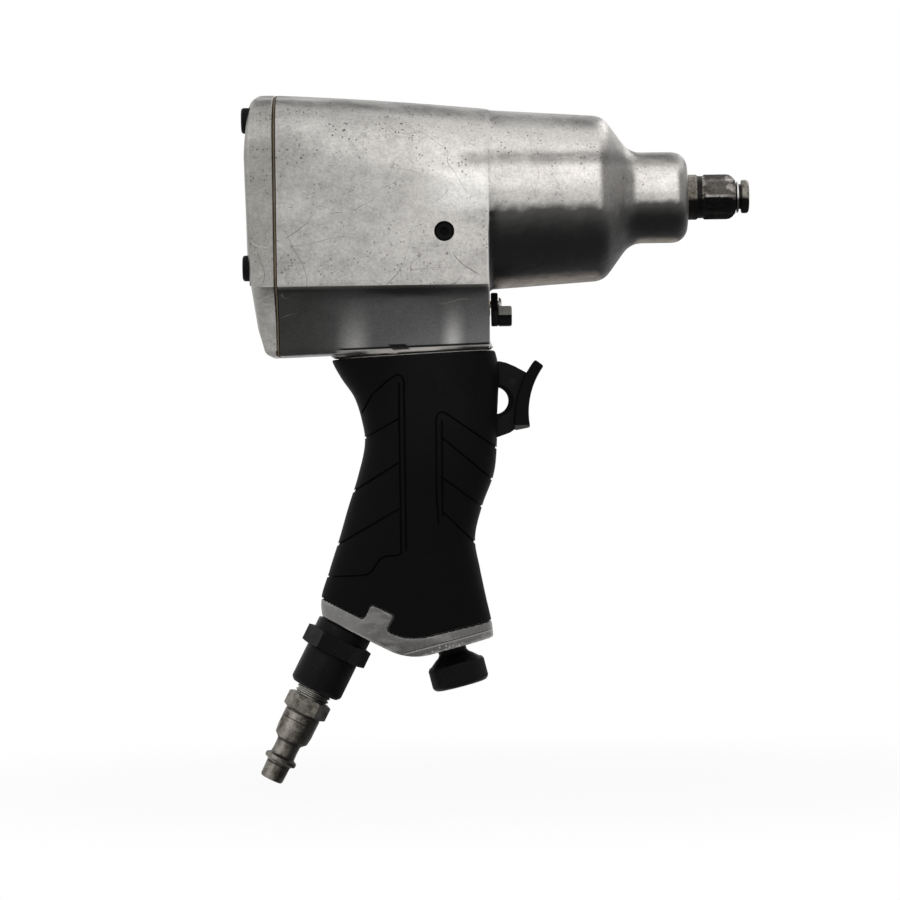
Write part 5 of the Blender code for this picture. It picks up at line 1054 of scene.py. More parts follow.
class WRENCH_OT_casting(bpy.types.Operator):
    """Model the cast body: barrel, nose, flat-sided body and the neck of the handle"""

    bl_idname = "wrench.casting"
    bl_label = "Casting"

    def execute(self, context):
        sizes, grip = sizes_of(context, "casting"), sizes_of(context, "grip")
        front = NOSE_FACE - sizes.barrel_length
        piece = turned("housing_casting", barrel_profile(sizes), steps=160)
        rear = BODY_REAR - 0.004
        stations = [front + (rear - front) * i / 8 for i in range(9)]
        body = lofted("body", [[(x, y, z) for y, z in body_section(x, sizes)] for x in stations])
        neck = lofted("neck", [
            handle_ring(-0.0500, grip, 0.0024), handle_ring(-0.0545, grip, 0.0002),
            handle_ring(GRIP_TOP_REAR + GAP, grip, 0.0008, GRIP_TOP_FRONT - GRIP_TOP_REAR),
        ])
        joined(piece, body, neck)
        fused(piece, sizes.grain, 5)
        cut(piece, block("rear_trim", (rear - 0.01, -0.05, -0.08), (BODY_REAR, 0.05, 0.08)))
        core = handle_form("core", -0.0510, -0.1700, 0.006, grip, grip.wall + GAP, 48)
        cut(core, below_flange("core_foot"))
        joined(piece, core)
        cut(piece, self.hollow(sizes))
        finished(piece, "cast_aluminium", "housing")
        return {"FINISHED"}

    def hollow(self, sizes):
        """Everything that is bored, milled and drilled out of the casting, as one form."""
        journal = BUSHING_HIGH.z - 0.003
        seat = BUSHING_HIGH.z + GAP
        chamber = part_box("hammer_cage")[1].z + 0.0009
        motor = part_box("motor_cylinder")[1].z + GAP
        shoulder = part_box("front_end_plate")[1].x + GAP
        bore_front = BUSHING_LOW.x - GAP / 2
        form = turned("bore", [
            (journal + 0.0008, NOSE_FACE + PAST), (journal + GAP, NOSE_FACE - 0.0004),
            (journal + GAP, BUSHING_HIGH.x + GAP), (seat, BUSHING_HIGH.x + GAP), (seat, bore_front),
            (chamber, bore_front - 0.003), (chamber, shoulder), (motor, shoulder), (motor, BODY_REAR - PAST),
        ], steps=96)
        low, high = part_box("trigger")
        web = sizes_of(bpy.context, "trigger").web / 2 + GAP
        joined(
            form,
            drilled("throttle_chamber", 0.0052, 0.0500, 0.0878, *INLET),
            drilled("inlet_bore", INLET_BORE, -PAST, 0.0688, *INLET),
            block("pocket", (-0.1055, -web, low.z - GAP), (high.x, web, high.z + GAP)),
            drilled("rod", 0.0021, -0.1220, -0.1045, (0, 0, ROD_HEIGHT), ALONG),
            turned("oil_port", [
                (0.0043, -0.036), (0.0043, -0.0348), (0.0036, -0.0338), (0.0036, -0.0195),
            ], middle_of("oil_plug", y=0), ACROSS, steps=48),
            drilled("regulator", REGULATOR_BORE, -PAST, 0.0283, *KNOB),
            drilled("muffler", MUFFLER_BORE, -PAST, 0.0163, *MUFFLER),
            drilled("reverse", 0.0046, -0.0283, 0.02, (NOSE_FACE - sizes.barrel_length, 0, -0.0387), ALONG),
        )
        return form


class WRENCH_OT_foot(bpy.types.Operator):
    """Model the casting's V-shaped foot with its tab, below the rubber"""

    bl_idname = "wrench.foot"
    bl_label = "Foot"

    def execute(self, context):
        grip = sizes_of(context, "grip")
        piece = handle_form("housing_foot", -0.1450, -0.1950, 0.004, grip)
        combined(piece, "INTERSECT", side_prism("foot_side", flange_outline(grip, 0.0), BEYOND))
        fused(piece, 0.00055, 4)
        cut(
            piece,
            drilled("foot_inlet", INLET_BORE, -PAST, BEYOND, *INLET, 48),
            drilled("foot_regulator", REGULATOR_BORE, -PAST, BEYOND, *KNOB),
            drilled("foot_muffler", MUFFLER_BORE, -PAST, BEYOND, *MUFFLER),
        )
        finished(piece, "cast_aluminium", "housing")
        return {"FINISHED"}


def cover_back(z):
    """X of the cover's rear face at a height: it leans forward above and below the axis."""
    return BACK_FACE + 0.0020 * ((z - 0.002) / 0.034) ** 2


class WRENCH_OT_cover(bpy.types.Operator):
    """Model the domed rear cover with its four counterbores, and the gasket in front of it"""

    bl_idname = "wrench.cover"
    bl_label = "Rear cover and gasket"

    def execute(self, context):
        sizes = sizes_of(context, "casting")
        outline = body_section(BODY_REAR, sizes)
        middle = (0, 0.002)
        rings = [
            self.ring(outline, middle, drop, COVER_FRONT - along) for along, drop in ((0, 0.0003), (0.0003, 0))
        ]
        for turn in range(9):
            angle = turn * pi / 16
            drop, sunk = sizes.cover_edge * (1 - cos(angle)), sizes.cover_edge * (1 - sin(angle))
            rings.append(self.ring(outline, middle, drop, None, sunk))
        for share in (0.15, 0.30, 0.45, 0.60, 0.75, 0.90):
            ring = [(between(y, middle[0], share), between(z, middle[1], share)) for y, z in outline]
            rings.append([(cover_back(z) - 0.0001 * share, y, z) for y, z in ring])
        piece = lofted("cover_casting", rings)
        cut(piece, drilled("pocket", 0.024, COVER_FRONT - 0.0045, COVER_FRONT + PAST, (0, 0, 0), ALONG, 64))
        for name in SCREWS:
            at = middle_of(f"cover_screw_{name}", x=0)
            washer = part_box(f"lock_washer_{name}")[0].x
            seat = turned("screw_seat", [
                (SCREW_HOLE, COVER_FRONT + PAST), (SCREW_HOLE, washer + 0.0015), (0.005, washer + 0.0015),
                (0.005, BACK_FACE + 0.002), (0.0056, BACK_FACE - PAST),
            ], at, steps=48)
            cut(piece, seat)
        finished(piece, "cast_aluminium", "rear_cover", angle=30)
        sheet = lofted("gasket_sheet", [
            self.ring(outline, middle, 0.0001, GASKET_HIGH.x), self.ring(outline, middle, 0.0001, GASKET_LOW.x)])
        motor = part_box("motor_cylinder")[1].z + GAP
        cut(sheet, drilled("window", motor, GASKET_LOW.x - PAST, GASKET_HIGH.x + PAST, (0, 0, 0), ALONG, 64))
        for name in SCREWS:
            at = middle_of(f"cover_screw_{name}", x=0)
            cut(sheet, drilled("hole", SCREW_HOLE, GASKET_LOW.x - PAST, GASKET_HIGH.x + PAST, at, ALONG))
        finished(sheet, "gasket_paper", "rear_gasket")
        return {"FINISHED"}

    def ring(self, outline, middle, drop, x, sunk=0.0):
        """The outline drawn in by a distance, at X or on the rear face sunk by a depth."""
        ring = []
        for y, z in outline:
            share = drop / max(0.001, ((y - middle[0]) ** 2 + (z - middle[1]) ** 2) ** 0.5)
            at = cover_back(z) + sunk if x is None else x
            ring.append((at, between(y, middle[0], share), between(z, middle[1], share)))
        return ring


class WRENCH_OT_cover_screws(bpy.types.Operator):
    """Model one knurled socket-head screw and copy it to the cover's four corners"""

    bl_idname = "wrench.cover_screws"
    bl_label = "Cover screws"

    def execute(self, context):
        first = "cover_screw_" + SCREWS[0]
        low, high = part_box(first)
        at = middle_of(first, x=0)
        seat, radius = low.x + 0.0055, 0.0047
        knurl = [(radius - 0.00014 * (i % 2), i * pi / 40) for i in range(80)]
        screw = prism("screw", [(r * cos(a), r * sin(a)) for r, a in knurl], low.x, seat, at)
        shape = turned("screw_shape", [
            (radius - 0.0009, low.x), (radius - 0.0004, low.x + 0.00015), (radius - 0.0001, low.x + 0.0006),
            (radius + 0.0001, low.x + 0.0010), (radius + 0.0001, seat - 0.0003), (radius - 0.0003, seat),
        ], at, steps=80)
        combined(screw, "INTERSECT", shape)
        cut(
            screw,
            prism("socket", hexagon(0.005), low.x - PAST, low.x + 0.003, at),
            turned("socket_mouth", [(0.0034, low.x - GAP), (0.0026, low.x + 0.0005)], at),
        )
        joined(screw, turned("shank", [
            (0.003, seat - 0.0006), (0.003, high.x - 0.0006), (0.0024, high.x),
        ], at, steps=40))
        for name in SCREWS[1:]:
            node = "cover_screw_" + name
            finished(copied(screw, "screw_" + name, middle_of(node, x=0) - at), "black_steel", node)
        screw.name = screw.data.name = "screw_" + SCREWS[0]
        finished(screw, "black_steel", first)
        return {"FINISHED"}


class WRENCH_OT_anvil(bpy.types.Operator):
    """Model the anvil with its square drive, the retaining ring in its groove and the bushing it turns in"""

    bl_idname = "wrench.anvil"
    bl_label = "Anvil"

    def execute(self, context):
        drive = sizes_of(context, "drive")
        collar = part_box("thrust_washer")[0].x - GAP
        groove = -drive.tip_length
        square_front = groove - drive.groove_width
        square_rear = square_front - drive.square_length
        journal_front = square_rear - 0.0015
        tip, core = drive.tip_radius, 0.0070
        piece = turned("anvil_drive", [
            (tip - 0.0014, 0), (tip - 0.0006, -0.00015), (tip - 0.0001, -0.0006), (tip, -0.0012),
            (tip, groove + 0.0003), (tip - 0.0003, groove), (drive.groove_radius, groove),
            (drive.groove_radius, square_front - 0.001), (core, square_front - 0.001),
            (core, square_rear + 0.001), (0.0078, square_rear + 0.001), (0.0078, journal_front),
            (drive.journal_radius - 0.0004, journal_front), (drive.journal_radius, journal_front - 0.0005),
            (drive.journal_radius, collar - 0.0015),
        ], steps=96)
        half = drive.square / 2 * 2**0.5
        square = prism("square", [(half, 0), (0, half), (-half, 0), (0, -half)], square_rear, square_front)
        corner = drive.corner_radius
        shape = turned("square_shape", [
            (core, square_rear), (corner, square_rear + 0.0009), (corner, square_front - 0.0034),
            (corner - 0.0002, square_front - 0.0022), (corner - 0.0008, square_front - 0.0012),
            (tip, square_front),
        ], steps=96)
        joined(piece, combined(square, "INTERSECT", shape))
        rear = packed_copy("anvil_rear", "anvil")
        cut(rear, block("front_of_collar", (collar - 0.0005, -0.03, -0.03), (0.01, 0.03, 0.03)))
        joined(piece, rear)
        bevelled(piece, 0.00022, angle=40)
        finished(piece, "worn_steel", "anvil", body="anvil", angle=30)
        self.retaining_ring()
        self.bushing(drive)
        return {"FINISHED"}

    def retaining_ring(self):
        low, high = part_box("socket_ring")
        outside = (high.y - low.y) / 2
        opening = radians(20)
        start, end = pi / 2 + opening, 2.5 * pi - opening
        outline = arc((0, 0), outside, start, end, 72) + arc((0, 0), outside - 0.0006, end, start, 72)
        ring = bevelled(prism("retaining_ring", outline, low.x, high.x), 0.00015)
        finished(ring, "bright_steel", "socket_ring", body="anvil")

    def bushing(self, drive):
        inside, outside = drive.journal_radius + GAP, BUSHING_HIGH.z
        front, rear = BUSHING_HIGH.x, BUSHING_LOW.x
        ring = turned("nose_bushing", [
            (inside + 0.0005, front), (outside - 0.0004, front), (outside, front - 0.0004),
            (outside, rear + 0.0004), (outside - 0.0004, rear), (inside + 0.0003, rear), (inside, rear + 0.0003),
            (inside, front - 0.0005),
        ], ring=True, steps=96)
        finished(ring, "bronze", "anvil_bushing")


class WRENCH_OT_inlet(bpy.types.Operator):
    """Model the black inlet bushing and the quick-connect plug screwed into it"""

    bl_idname = "wrench.inlet"
    bl_label = "Air inlet"

    def execute(self, context):
        sizes = sizes_of(context, "inlet")
        hex_top = -sizes.collar_height
        hex_foot = hex_top - sizes.hex_height
        sleeve_foot = hex_foot - sizes.sleeve_length
        self.bushing(sizes, hex_top, hex_foot, sleeve_foot)
        self.plug(sleeve_foot)
        return {"FINISHED"}

    def bushing(self, sizes, hex_top, hex_foot, sleeve_foot):
        collar, sleeve = 0.0105, sizes.sleeve_radius
        piece = turned("bushing_black", [
            (0.0068, 0.019), (0.0073, 0.0185), (0.0073, -GAP), (collar - 0.0004, -GAP), (collar, -GAP - 0.0004),
            (collar, hex_foot + 0.0004), (sleeve - 0.0002, hex_foot + 0.0004), (sleeve, hex_foot - 0.0006),
            (sleeve, sleeve_foot + 0.0016), (sleeve - 0.0003, sleeve_foot + 0.0010),
            (sleeve - 0.0012, sleeve_foot + 0.0001), (sleeve - 0.0017, sleeve_foot),
        ], *INLET, steps=96)
        joined(piece, nut("bushing_hex", 0.022, hex_foot, hex_top, INLET_ORIGIN, INLET_SIDE, 0.4))
        thread_top = sleeve_foot + MOUTH_LENGTH
        cut(piece, turned("bushing_bore", [
            (0.0045, 0.021), (0.0045, thread_top + GAP), (0.0069, thread_top + GAP),
            (0.0069, sleeve_foot + 0.0004), (0.0074, sleeve_foot - GAP),
        ], *INLET, steps=64))
        bevelled(piece, 0.00025, 3, 25)
        finished(piece, "black_steel", "inlet_bushing", angle=30)

    def plug(self, sleeve_foot):
        thread_top = sleeve_foot + MOUTH_LENGTH
        hex_top = sleeve_foot - 0.0032
        hex_foot = hex_top - 0.0064
        body_foot = hex_foot - 0.0102
        neck_top = body_foot - 0.0018
        neck_foot = neck_top - 0.0059
        ring_foot = neck_foot - 0.0024
        tip = ring_foot - 0.0069
        pitch, thread_turns = 0.0014, 9
        profile = [(0.0058, thread_top)]
        for turn in range(thread_turns):
            crest = thread_top - 0.0003 - turn * pitch
            profile += [
                (0.0066, crest - 0.0004), (0.0066, crest - 0.0006), (0.0059, crest - pitch + 0.0002),
                (0.0059, crest - pitch),
            ]
        profile += [
            (0.0060, hex_top - 0.001), (0.0066, hex_foot + 0.001), (0.0066, hex_foot - 0.0001),
            (0.0068, hex_foot - 0.0008), (0.00675, body_foot + 0.0030), (0.0064, body_foot + 0.0001),
            (0.0062, body_foot - 0.0002),
            (0.0048, neck_top + 0.0003), (0.00455, neck_top - 0.0003), (0.0045, (neck_top + neck_foot) / 2),
            (0.00465, neck_foot + 0.0005), (0.0052, neck_foot + 0.0001), (0.0060, neck_foot - 0.0004),
            (0.0061, neck_foot - 0.0008), (0.0061, ring_foot + 0.0007), (0.0057, ring_foot + 0.0003),
            (0.0048, ring_foot), (0.00455, ring_foot - 0.0005), (0.0045, ring_foot - 0.0015),
            (0.0044, tip + 0.0008), (0.0041, tip + 0.0002), (0.0037, tip),
        ]
        piece = turned("plug_steel", profile, *INLET, steps=72)
        joined(piece, nut("plug_hex", 0.0145, hex_foot, hex_top, INLET_ORIGIN, INLET_SIDE))
        cut(piece, turned("plug_bore", [
            (0.003, thread_top + PAST), (0.003, tip + 0.0005), (0.0035, tip - GAP),
        ], *INLET, steps=48))
        bevelled(piece, 0.00012, angle=40)
        finished(piece, "worn_steel", "inlet_plug", angle=30)


class WRENCH_OT_knob(bpy.types.Operator):
    """Model the power regulator's knob with its diamond knurl"""

    bl_idname = "wrench.knob"
    bl_label = "Regulator knob"

    def execute(self, context):
        sizes = sizes_of(context, "knob")
        cone = -0.0027 - GAP
        top = cone - 0.0025
        foot = top - sizes.height
        radius = sizes.radius - sizes.knurl_depth
        profile = [
            (0.0053, -GAP), (0.0053, cone + 0.0012), (0.0059, cone + 0.0003), (0.0072, cone - 0.0006),
            (radius - 0.0012, top + 0.0002), (radius - 0.0004, top - 0.0001),
        ]
        rows, steps = 12, 108
        knurl_top, knurl_foot = top - 0.0006, foot + 0.0010
        profile += [(radius, between(knurl_top, knurl_foot, i / rows)) for i in range(rows + 1)]
        profile += [
            (radius - 0.0002, foot + 0.0006), (radius - 0.0009, foot + 0.0001), (radius - 0.0018, foot - 0.0001),
            (0.0055, foot - 0.0001), (0.0050, foot + 0.0003),
        ]
        piece = turned("knob", profile, *KNOB, steps=steps)
        self.knurl(piece, sizes.knurl_depth, radius, knurl_top, knurl_foot, rows, steps)
        cut(piece, drilled("knob_bore", REGULATOR_BORE, top, PAST, *KNOB, 40))
        finished(piece, "black_steel", "regulator_knob", body="regulator", angle=50)
        return {"FINISHED"}

    def knurl(self, piece, depth, radius, top, foot, rows, steps):
        """Raises every second corner of the knob's side, in a chessboard, and marks these as worn."""
        picked(piece)
        bpy.ops.object.mode_set(mode="EDIT")
        bpy.ops.mesh.select_all(action="DESELECT")
        bpy.ops.mesh.select_mode(type="VERT")
        form = bmesh.from_edit_mesh(piece.data)
        for corner in form.verts:
            away = corner.co - KNOB_ORIGIN
            along = away.dot(KNOB_UP)
            out = away - KNOB_UP * along
            if abs(out.length - radius) > 0.00002 or not foot + 0.0003 < along < top - 0.0003:
                continue
            row = round((top - along) / (top - foot) * rows)
            column = round(atan2(out.dot(KNOB_SIDE), out.y) / (2 * pi) * steps)
            corner.select = (row + column) % 2 == 0
        form.select_flush_mode()
        bmesh.update_edit_mesh(piece.data)
        bpy.ops.transform.shrink_fatten(value=depth)
        bpy.ops.object.mode_set(mode="OBJECT")
        marks = piece.data.attributes.new("worn", "FLOAT", "POINT")
        for corner, mark in zip(piece.data.vertices, marks.data):
            mark.value = float(corner.select)


class WRENCH_OT_trigger(bpy.types.Operator):
    """Model the trigger: a curved finger pad on a web with a window, and the rod behind it"""

    bl_idname = "wrench.trigger"
    bl_label = "Trigger"

    def execute(self, context):
        sizes = sizes_of(context, "trigger")
        low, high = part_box("trigger")
        centre, radius = PAD_CENTRE, 0.0288
        rear_radius = radius + sizes.pad_thickness
        rear = BODY_FRONT - 0.0057
        middle = (radius + rear_radius) / 2
        top_edge = [
            (rear, high.z), (BODY_FRONT + 0.0035, high.z), (-0.0905, high.z - 0.0006),
            (-0.0875, high.z - 0.0019),
        ]
        on_pad = arc(centre, middle, radians(153.1), radians(186.6), 16)
        foot_edge = [(-0.0895, low.z + 0.0017), (BODY_FRONT + 0.002, low.z), (rear, low.z)]
        web = side_prism("trigger_web", top_edge + on_pad + foot_edge, sizes.web / 2)
        cut(web, side_prism("window", arc(WINDOW_CENTRE, 0.005, 0, 2 * pi, 48)[:-1], 0.01))
        bevelled(web, 0.0004, 3)
        for y in (-sizes.web / 2, sizes.web / 2):
            at = (DIMPLE_CENTRE[0], y, DIMPLE_CENTRE[1])
            cut(web, drilled("dimple", 0.00165, -0.0003, 0.0003, at, ACROSS, 32))
        top, foot, steps = radians(143.1), radians(190.6), 30
        outline = arc(centre, radius, top, foot, steps)
        for i, (x, z) in enumerate(arc(centre, rear_radius, foot, top, steps)):
            swell = 1 + 0.055 * (1 - i / steps) ** 1.5
            outline.append((between(centre[0], x, swell), between(centre[1], z, swell)))
        pad = bevelled(side_prism("trigger_pad", outline, sizes.pad_width / 2), 0.0011, 4)
        joined(web, pad)
        joined(web, drilled("rod", 0.0018, low.x, rear + 0.001, (0, 0, ROD_HEIGHT), ALONG, 32))
        finished(web, "black_plastic", "trigger", body="trigger", angle=40)
        return {"FINISHED"}


class WRENCH_OT_reverse_lever(bpy.types.Operator):
    """Model the reverse lever with its finger and the screw that holds it"""

    bl_idname = "wrench.reverse_lever"
    bl_label = "Reverse lever"

    def execute(self, context):
        low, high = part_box("reverse_lever")
        pivot = middle_of("lever_screw", x=0)
        plate_rear, plate_front = low.x, low.x + LEVER_THICKNESS
        heading, reach, finger_radius = radians(-150), 0.009, 0.0038
        tip = (reach * cos(heading), reach * sin(heading))
        outline = arc((0, 0), 0.0044, heading + pi / 2 - 0.07, heading + 1.5 * pi + 0.07, 24)
        outline += arc(tip, finger_radius, heading - pi / 2 + 0.05, heading + pi / 2 - 0.05, 24)
        lever = bevelled(prism("lever", outline, plate_rear, plate_front, pivot), 0.0005, 3)
        end = pivot + ACROSS * tip[0] + UP * tip[1]
        finger = turned("finger", [
            (0.0035, plate_rear + 0.0008), (0.0035, plate_front), (finger_radius, plate_front + 0.0004),
            (finger_radius, high.x - 0.0008), (0.0036, high.x - 0.0002), (0.0030, high.x),
        ], end, steps=48)
        turn, low_edge, high_edge = radians(52), 0.0018, 0.008
        outline = [(-high_edge, low_edge), (high_edge, low_edge), (high_edge, high_edge), (-high_edge, high_edge)]
        flat = prism(
            "flat", outline, plate_front + 0.0002, high.x + PAST, end,
            Vector((0, cos(turn), sin(turn))), Vector((0, -sin(turn), cos(turn))),
        )
        joined(lever, bevelled(cut(finger, flat), 0.0002, 2, 30))
        cut(lever, drilled("lever_hole", 0.0016, plate_rear - PAST, plate_front + PAST, pivot, ALONG))
        finished(lever, "black_steel", "reverse_lever", body="reverse_valve", angle=40)
        self.screw(pivot)
        return {"FINISHED"}

    def screw(self, pivot):
        low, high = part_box("lever_screw")
        head = high.x - 0.0011
        screw = turned("lever_screw_pan", [
            (0.0010, low.x), (0.0013, low.x + 0.0003), (0.0013, head), (0.0026, head), (0.0026, head + 0.0004),
            (0.0022, high.x - 0.0002), (0.0015, high.x),
        ], pivot, steps=48)
        long, wide = 0.0014, 0.00025
        slot = [(-long, -wide), (long, -wide), (long, wide), (-long, wide)]
        for across, up in ((ACROSS, UP), (UP, -ACROSS)):
            cut(screw, prism("cross", slot, high.x - 0.0006, high.x + GAP, pivot, across, up))
        finished(screw, "bright_steel", "lever_screw", body="reverse_valve")


class WRENCH_OT_plugs(bpy.types.Operator):
    """Model the oil plug with its hex socket and the porous exhaust muffler"""

    bl_idname = "wrench.plugs"
    bl_label = "Oil plug and muffler"

    def execute(self, context):
        low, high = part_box("oil_plug")
        at = middle_of("oil_plug", y=0)
        radius, edge = (high.x - low.x) / 2, 0.0003
        plug = turned("oil_screw", [
            (radius - edge, low.y), (radius, low.y + edge), (radius, high.y - edge), (radius - edge, high.y),
        ], at, ACROSS, steps=48)
        cut(plug, prism("oil_socket", hexagon(0.003), -low.y - 0.002, -low.y + PAST, at, ALONG, UP))
        finished(plug, "black_steel", "oil_plug")
        muffler = turned("muffler", [
            (0.0046, 0.0020), (0.0051, 0.0025), (0.0052, 0.003), (0.0052, 0.0155), (0.0047, 0.016),
        ], *MUFFLER, steps=64)
        finished(muffler, "felt", "exhaust_muffler")
        return {"FINISHED"}


# the middle lines of the grip's grooves, in X and Z
REAR_PANEL = (
    (-0.1440, -0.0780), (-0.1400, -0.0715), (-0.1341, -0.0663), (-0.1311, -0.0645), (-0.1297, -0.0646),
    (-0.1287, -0.0656), (-0.1283, -0.0672), (-0.1283, -0.1290),
)
REAR_INNER = (
    (-0.1302, -0.0675), (-0.1302, -0.1298), (-0.1312, -0.1306), (-0.1360, -0.1309), (-0.1378, -0.1318),
    (-0.1410, -0.1362), (-0.1425, -0.1375), (-0.1458, -0.1379), (-0.1610, -0.1385),
)
REAR_STRIPES = (
    ((-0.1300, -0.0803), (-0.1480, -0.0900)),
    ((-0.1300, -0.0963), (-0.1500, -0.1085)),
    ((-0.1300, -0.1132), (-0.1570, -0.1285)),
)
FRONT_PANEL = (
    (-0.1164, -0.1190), (-0.1169, -0.1089), (-0.1167, -0.0806), (-0.1160, -0.0789), (-0.1146, -0.0782),
    (-0.1129, -0.0789), (-0.0920, -0.0935),
)
FRONT_INNER = ((-0.1146, -0.0815), (-0.1148, -0.1165))
FRONT_STRIPES = (
    ((-0.1150, -0.0873), (-0.0930, -0.1062)),
    ((-0.1150, -0.1020), (-0.0980, -0.1150)),
    ((-0.1150, -0.1146), (-0.0985, -0.1310)),
)


def ribbon(points, width):
    """The outline of a line of some width through points."""
    points = [Vector(p) for p in points]
    left, right = [], []
    for i, point in enumerate(points):
        before, after = points[max(i - 1, 0)], points[min(i + 1, len(points) - 1)]
        heading = (after - before).normalized()
        side = Vector((-heading.y, heading.x)) * width / 2
        left.append(point + side)
        right.append(point - side)
    return [tuple(p) for p in left + right[::-1]]


class WRENCH_OT_grip(bpy.types.Operator):
    """Model the rubber grip with its moulded grooves"""

    bl_idname = "wrench.grip"
    bl_label = "Grip"

    def execute(self, context):
        sizes = sizes_of(context, "grip")
        rings = []
        tilt = GRIP_TOP_FRONT - GRIP_TOP_REAR
        for drop, inset in ((0.0, 0.0011), (0.0001, 0.0005), (0.0004, 0.0001), (0.0009, 0.0)):
            rings.append(handle_ring(GRIP_TOP_REAR - drop, sizes, inset, tilt))
        start, end, count = GRIP_TOP_REAR - 0.0020, -0.1860, 110
        for i in range(count + 1):
            rings.append(handle_ring(between(start, end, i / count), sizes, 0.0, tilt * max(0, 1 - i / 12)))
        piece = lofted("grip_rubber", rings)
        cut(piece, handle_form("inside", -0.0500, -0.1900, 0.004, sizes, sizes.wall, 48))
        cut(piece, side_prism("foot_line", flange_outline(sizes, GAP), BEYOND))
        cut(piece, below_flange("waste"))
        low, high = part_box("trigger")
        slot = 0.00285
        cut(piece, block(
            "slot", (BODY_FRONT - 0.0135, -slot, low.z - GAP), (BODY_FRONT + 0.01, slot, high.z + GAP)))
        bed = handle_form("bed", -0.0500, -0.1900, 0.0015, sizes, sizes.groove_depth)
        for line in (REAR_PANEL, REAR_INNER, *REAR_STRIPES, FRONT_PANEL, FRONT_INNER, *FRONT_STRIPES):
            groove = side_prism("groove", ribbon(line, sizes.groove_width), BEYOND)
            cut(piece, cut(groove, copied(bed, "bed_copy", (0, 0, 0))))
        bpy.data.objects.remove(bed)
        self.mark_grooves(piece, sizes)
        finished(piece, "rubber", "handle_grip", angle=40)
        return {"FINISHED"}

    def mark_grooves(self, piece, sizes):
        """Notes at each corner of the mesh whether it lies at the bottom of a groove, where the rubber's finish
        paints shade.
        """
        marks = piece.data.attributes.new("sunk", "FLOAT", "POINT")
        top, low = HANDLE_STATIONS[0][0], HANDLE_STATIONS[-1][0]
        for corner, mark in zip(piece.data.vertices, marks.data):
            x, y, z = corner.co
            rear, front = handle_edges(z)
            half_width = sizes.half_width - sizes.waist * sin(pi * (top - z) / (top - low))
            along, side = abs(x - (rear + front) / 2) / ((front - rear) / 2), abs(y) / half_width
            reach = (along ** (2 / OVAL) + side ** (2 / OVAL)) ** (OVAL / 2)
            depth = (1 - reach) * half_width / sizes.groove_depth
            mark.value = float(0.6 < depth < 1.6 and GROOVES_LOW < z < GROOVES_HIGH)


class WRENCH_OT_inside(bpy.types.Operator):
    """Give the pieces inside the casting their finishes"""

    bl_idname = "wrench.inside"
    bl_label = "Inner pieces"

    def execute(self, context):
        for part in frame["record"]["subparts"]:
            piece = frame["nodes"][part["node"]]
            for holder in piece.material_slots:
                holder.material = finish_of(part["material_slot"])
        return {"FINISHED"}


class WRENCH_OT_stage(bpy.types.Operator):
    """Set the floor, the lights and the camera"""

    bl_idname = "wrench.stage"
    bl_label = "Stage"

    def execute(self, context):
        colours = sizes_of(context, "colours")
        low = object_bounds()[0]
        bpy.ops.mesh.primitive_plane_add(size=8, location=(0, 0, 0))
        floor = named("floor")
        floor.data.transform(Matrix.Translation((-0.1, 0, low[2] - 0.0005)))
        f = Finish("floor", Roughness=0.9, Specular_IOR_Level=0.1)
        f.shader.inputs["Base Color"].default_value = rgba(colours.floor)
        x, y, _ = f.axes()
        whiteness = 0.94 + (((x + 0.1) ** 2 + y**2) ** 0.5).rise(0.05, 0.32) * 0.06
        white_for(f.tree, f.tree.nodes["Material Output"], f.shader.outputs[0], whiteness)
        floor.data.materials.append(f.material)
        floor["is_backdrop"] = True
        self.world(context)
        self.lamp("key_light", (-0.05, -0.90, 0.80), (-0.10, 0, -0.02), 1.5, 3.2)
        self.lamp("side_light", (-1.0, -0.3, 0.5), (-0.12, 0, -0.05), 0.7, 1.2)
        self.lamp("back_light", (0.5, 0.8, 0.8), (-0.10, 0, -0.05), 0.7, 1.6)
        self.camera(context)
        return {"FINISHED"}

    def world(self, context):
        world = bpy.data.worlds.new("studio")
        context.scene.world = world
        world.use_nodes = True
        tree = world.node_tree
        fill = tree.nodes["Background"]
        fill.inputs["Strength"].default_value = 0.55
        white_for(tree, tree.nodes["World Output"], fill.outputs[0], 1.0)

    def lamp(self, name, at, towards, size, power):
        bpy.ops.object.light_add(type="AREA", location=at)
        lamp = bpy.context.object
        lamp.name = name
        lamp.data.shape = "DISK"
        lamp.data.size = size
        lamp.data.energy = power
        lamp.rotation_euler = (Vector(towards) - Vector(at)).to_track_quat("-Z", "Y").to_euler()

    def camera(self, context):
        reach = 1.6
        bpy.ops.object.camera_add(location=(-0.11175, -reach, -0.09225))
        camera = bpy.context.object
        camera.name = "camera"
        camera.data.sensor_width = 36
        camera.data.angle = 2 * atan2(0.1665, reach)
        camera.data.clip_start = 0.01
        roll = radians(0.8)
        right = Vector((cos(roll), 0, -sin(roll)))
        up = Vector((sin(roll), 0, cos(roll)))
        camera.rotation_euler = Matrix((right, up, right.cross(up))).transposed().to_euler()
        context.scene.camera = camera
        context.scene.view_settings.view_transform = "Standard"


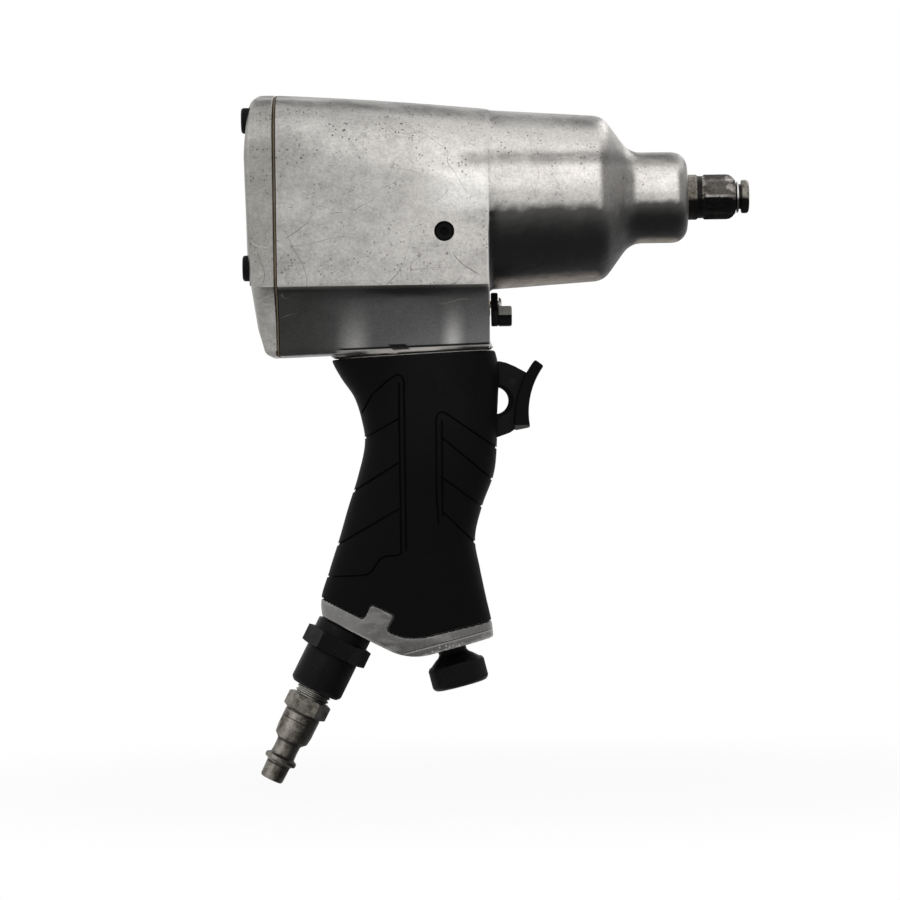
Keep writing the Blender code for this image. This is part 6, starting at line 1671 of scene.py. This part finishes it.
def white_for(tree, output, lit, share):
    """Shows white to the camera, and to gloss and glass, in this share."""
    path = tree.nodes.new("ShaderNodeLightPath")
    seen = path.outputs["Is Camera Ray"]
    for ray in ("Is Glossy Ray", "Is Transmission Ray"):
        either = tree.nodes.new("ShaderNodeMath")
        either.operation = "MAXIMUM"
        tree.links.new(seen, either.inputs[0])
        tree.links.new(path.outputs[ray], either.inputs[1])
        seen = either.outputs[0]
    part = tree.nodes.new("ShaderNodeMath")
    part.operation = "MULTIPLY"
    tree.links.new(seen, part.inputs[0])
    if isinstance(share, Signal):
        tree.links.new(share.socket, part.inputs[1])
    else:
        part.inputs[1].default_value = share
    on_world = output.bl_idname == "ShaderNodeOutputWorld"
    white = tree.nodes.new("ShaderNodeBackground" if on_world else "ShaderNodeEmission")
    mix = tree.nodes.new("ShaderNodeMixShader")
    tree.links.new(part.outputs[0], mix.inputs[0])
    tree.links.new(lit, mix.inputs[1])
    tree.links.new(white.outputs[0], mix.inputs[2])
    white.inputs[0].default_value = (1, 1, 1, 1)
    tree.links.new(mix.outputs[0], output.inputs["Surface"])


PROPERTIES = {
    "casting": WRENCH_PG_casting,
    "grip": WRENCH_PG_grip,
    "drive": WRENCH_PG_drive,
    "inlet": WRENCH_PG_inlet,
    "knob": WRENCH_PG_knob,
    "trigger": WRENCH_PG_trigger,
    "colours": WRENCH_PG_colours,
}
OPERATORS = (
    WRENCH_OT_finishes,
    WRENCH_OT_stage,
    WRENCH_OT_casting,
    WRENCH_OT_foot,
    WRENCH_OT_cover,
    WRENCH_OT_cover_screws,
    WRENCH_OT_grip,
    WRENCH_OT_anvil,
    WRENCH_OT_inlet,
    WRENCH_OT_knob,
    WRENCH_OT_trigger,
    WRENCH_OT_reverse_lever,
    WRENCH_OT_plugs,
    WRENCH_OT_inside,
)


class WRENCH_PT_panel(bpy.types.Panel):
    """Lists the wrench's sizes and steps"""

    bl_idname = "WRENCH_PT_panel"
    bl_label = "Air Impact Wrench"
    bl_space_type = "VIEW_3D"
    bl_region_type = "UI"
    bl_category = "Wrench"

    def draw(self, context):
        for name, kind in PROPERTIES.items():
            box = self.layout.box()
            box.label(text=name.capitalize())
            for item in kind.__annotations__:
                box.prop(getattr(context.scene, "wrench_" + name), item)
        for operator in OPERATORS:
            self.layout.operator(operator.bl_idname)


def register():
    for item in (*PROPERTIES.values(), *OPERATORS, WRENCH_PT_panel):
        bpy.utils.register_class(item)
    for name, kind in PROPERTIES.items():
        setattr(bpy.types.Scene, "wrench_" + name, bpy.props.PointerProperty(type=kind))


def unregister():
    for name in PROPERTIES:
        delattr(bpy.types.Scene, "wrench_" + name)
    for item in (WRENCH_PT_panel, *reversed(OPERATORS), *reversed(PROPERTIES.values())):
        bpy.utils.unregister_class(item)


def main():
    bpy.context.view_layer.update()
    register()
    for operator in OPERATORS:
        group, name = operator.bl_idname.split(".")
        getattr(getattr(bpy.ops, group), name)()


if __name__ == "__main__":
    main()
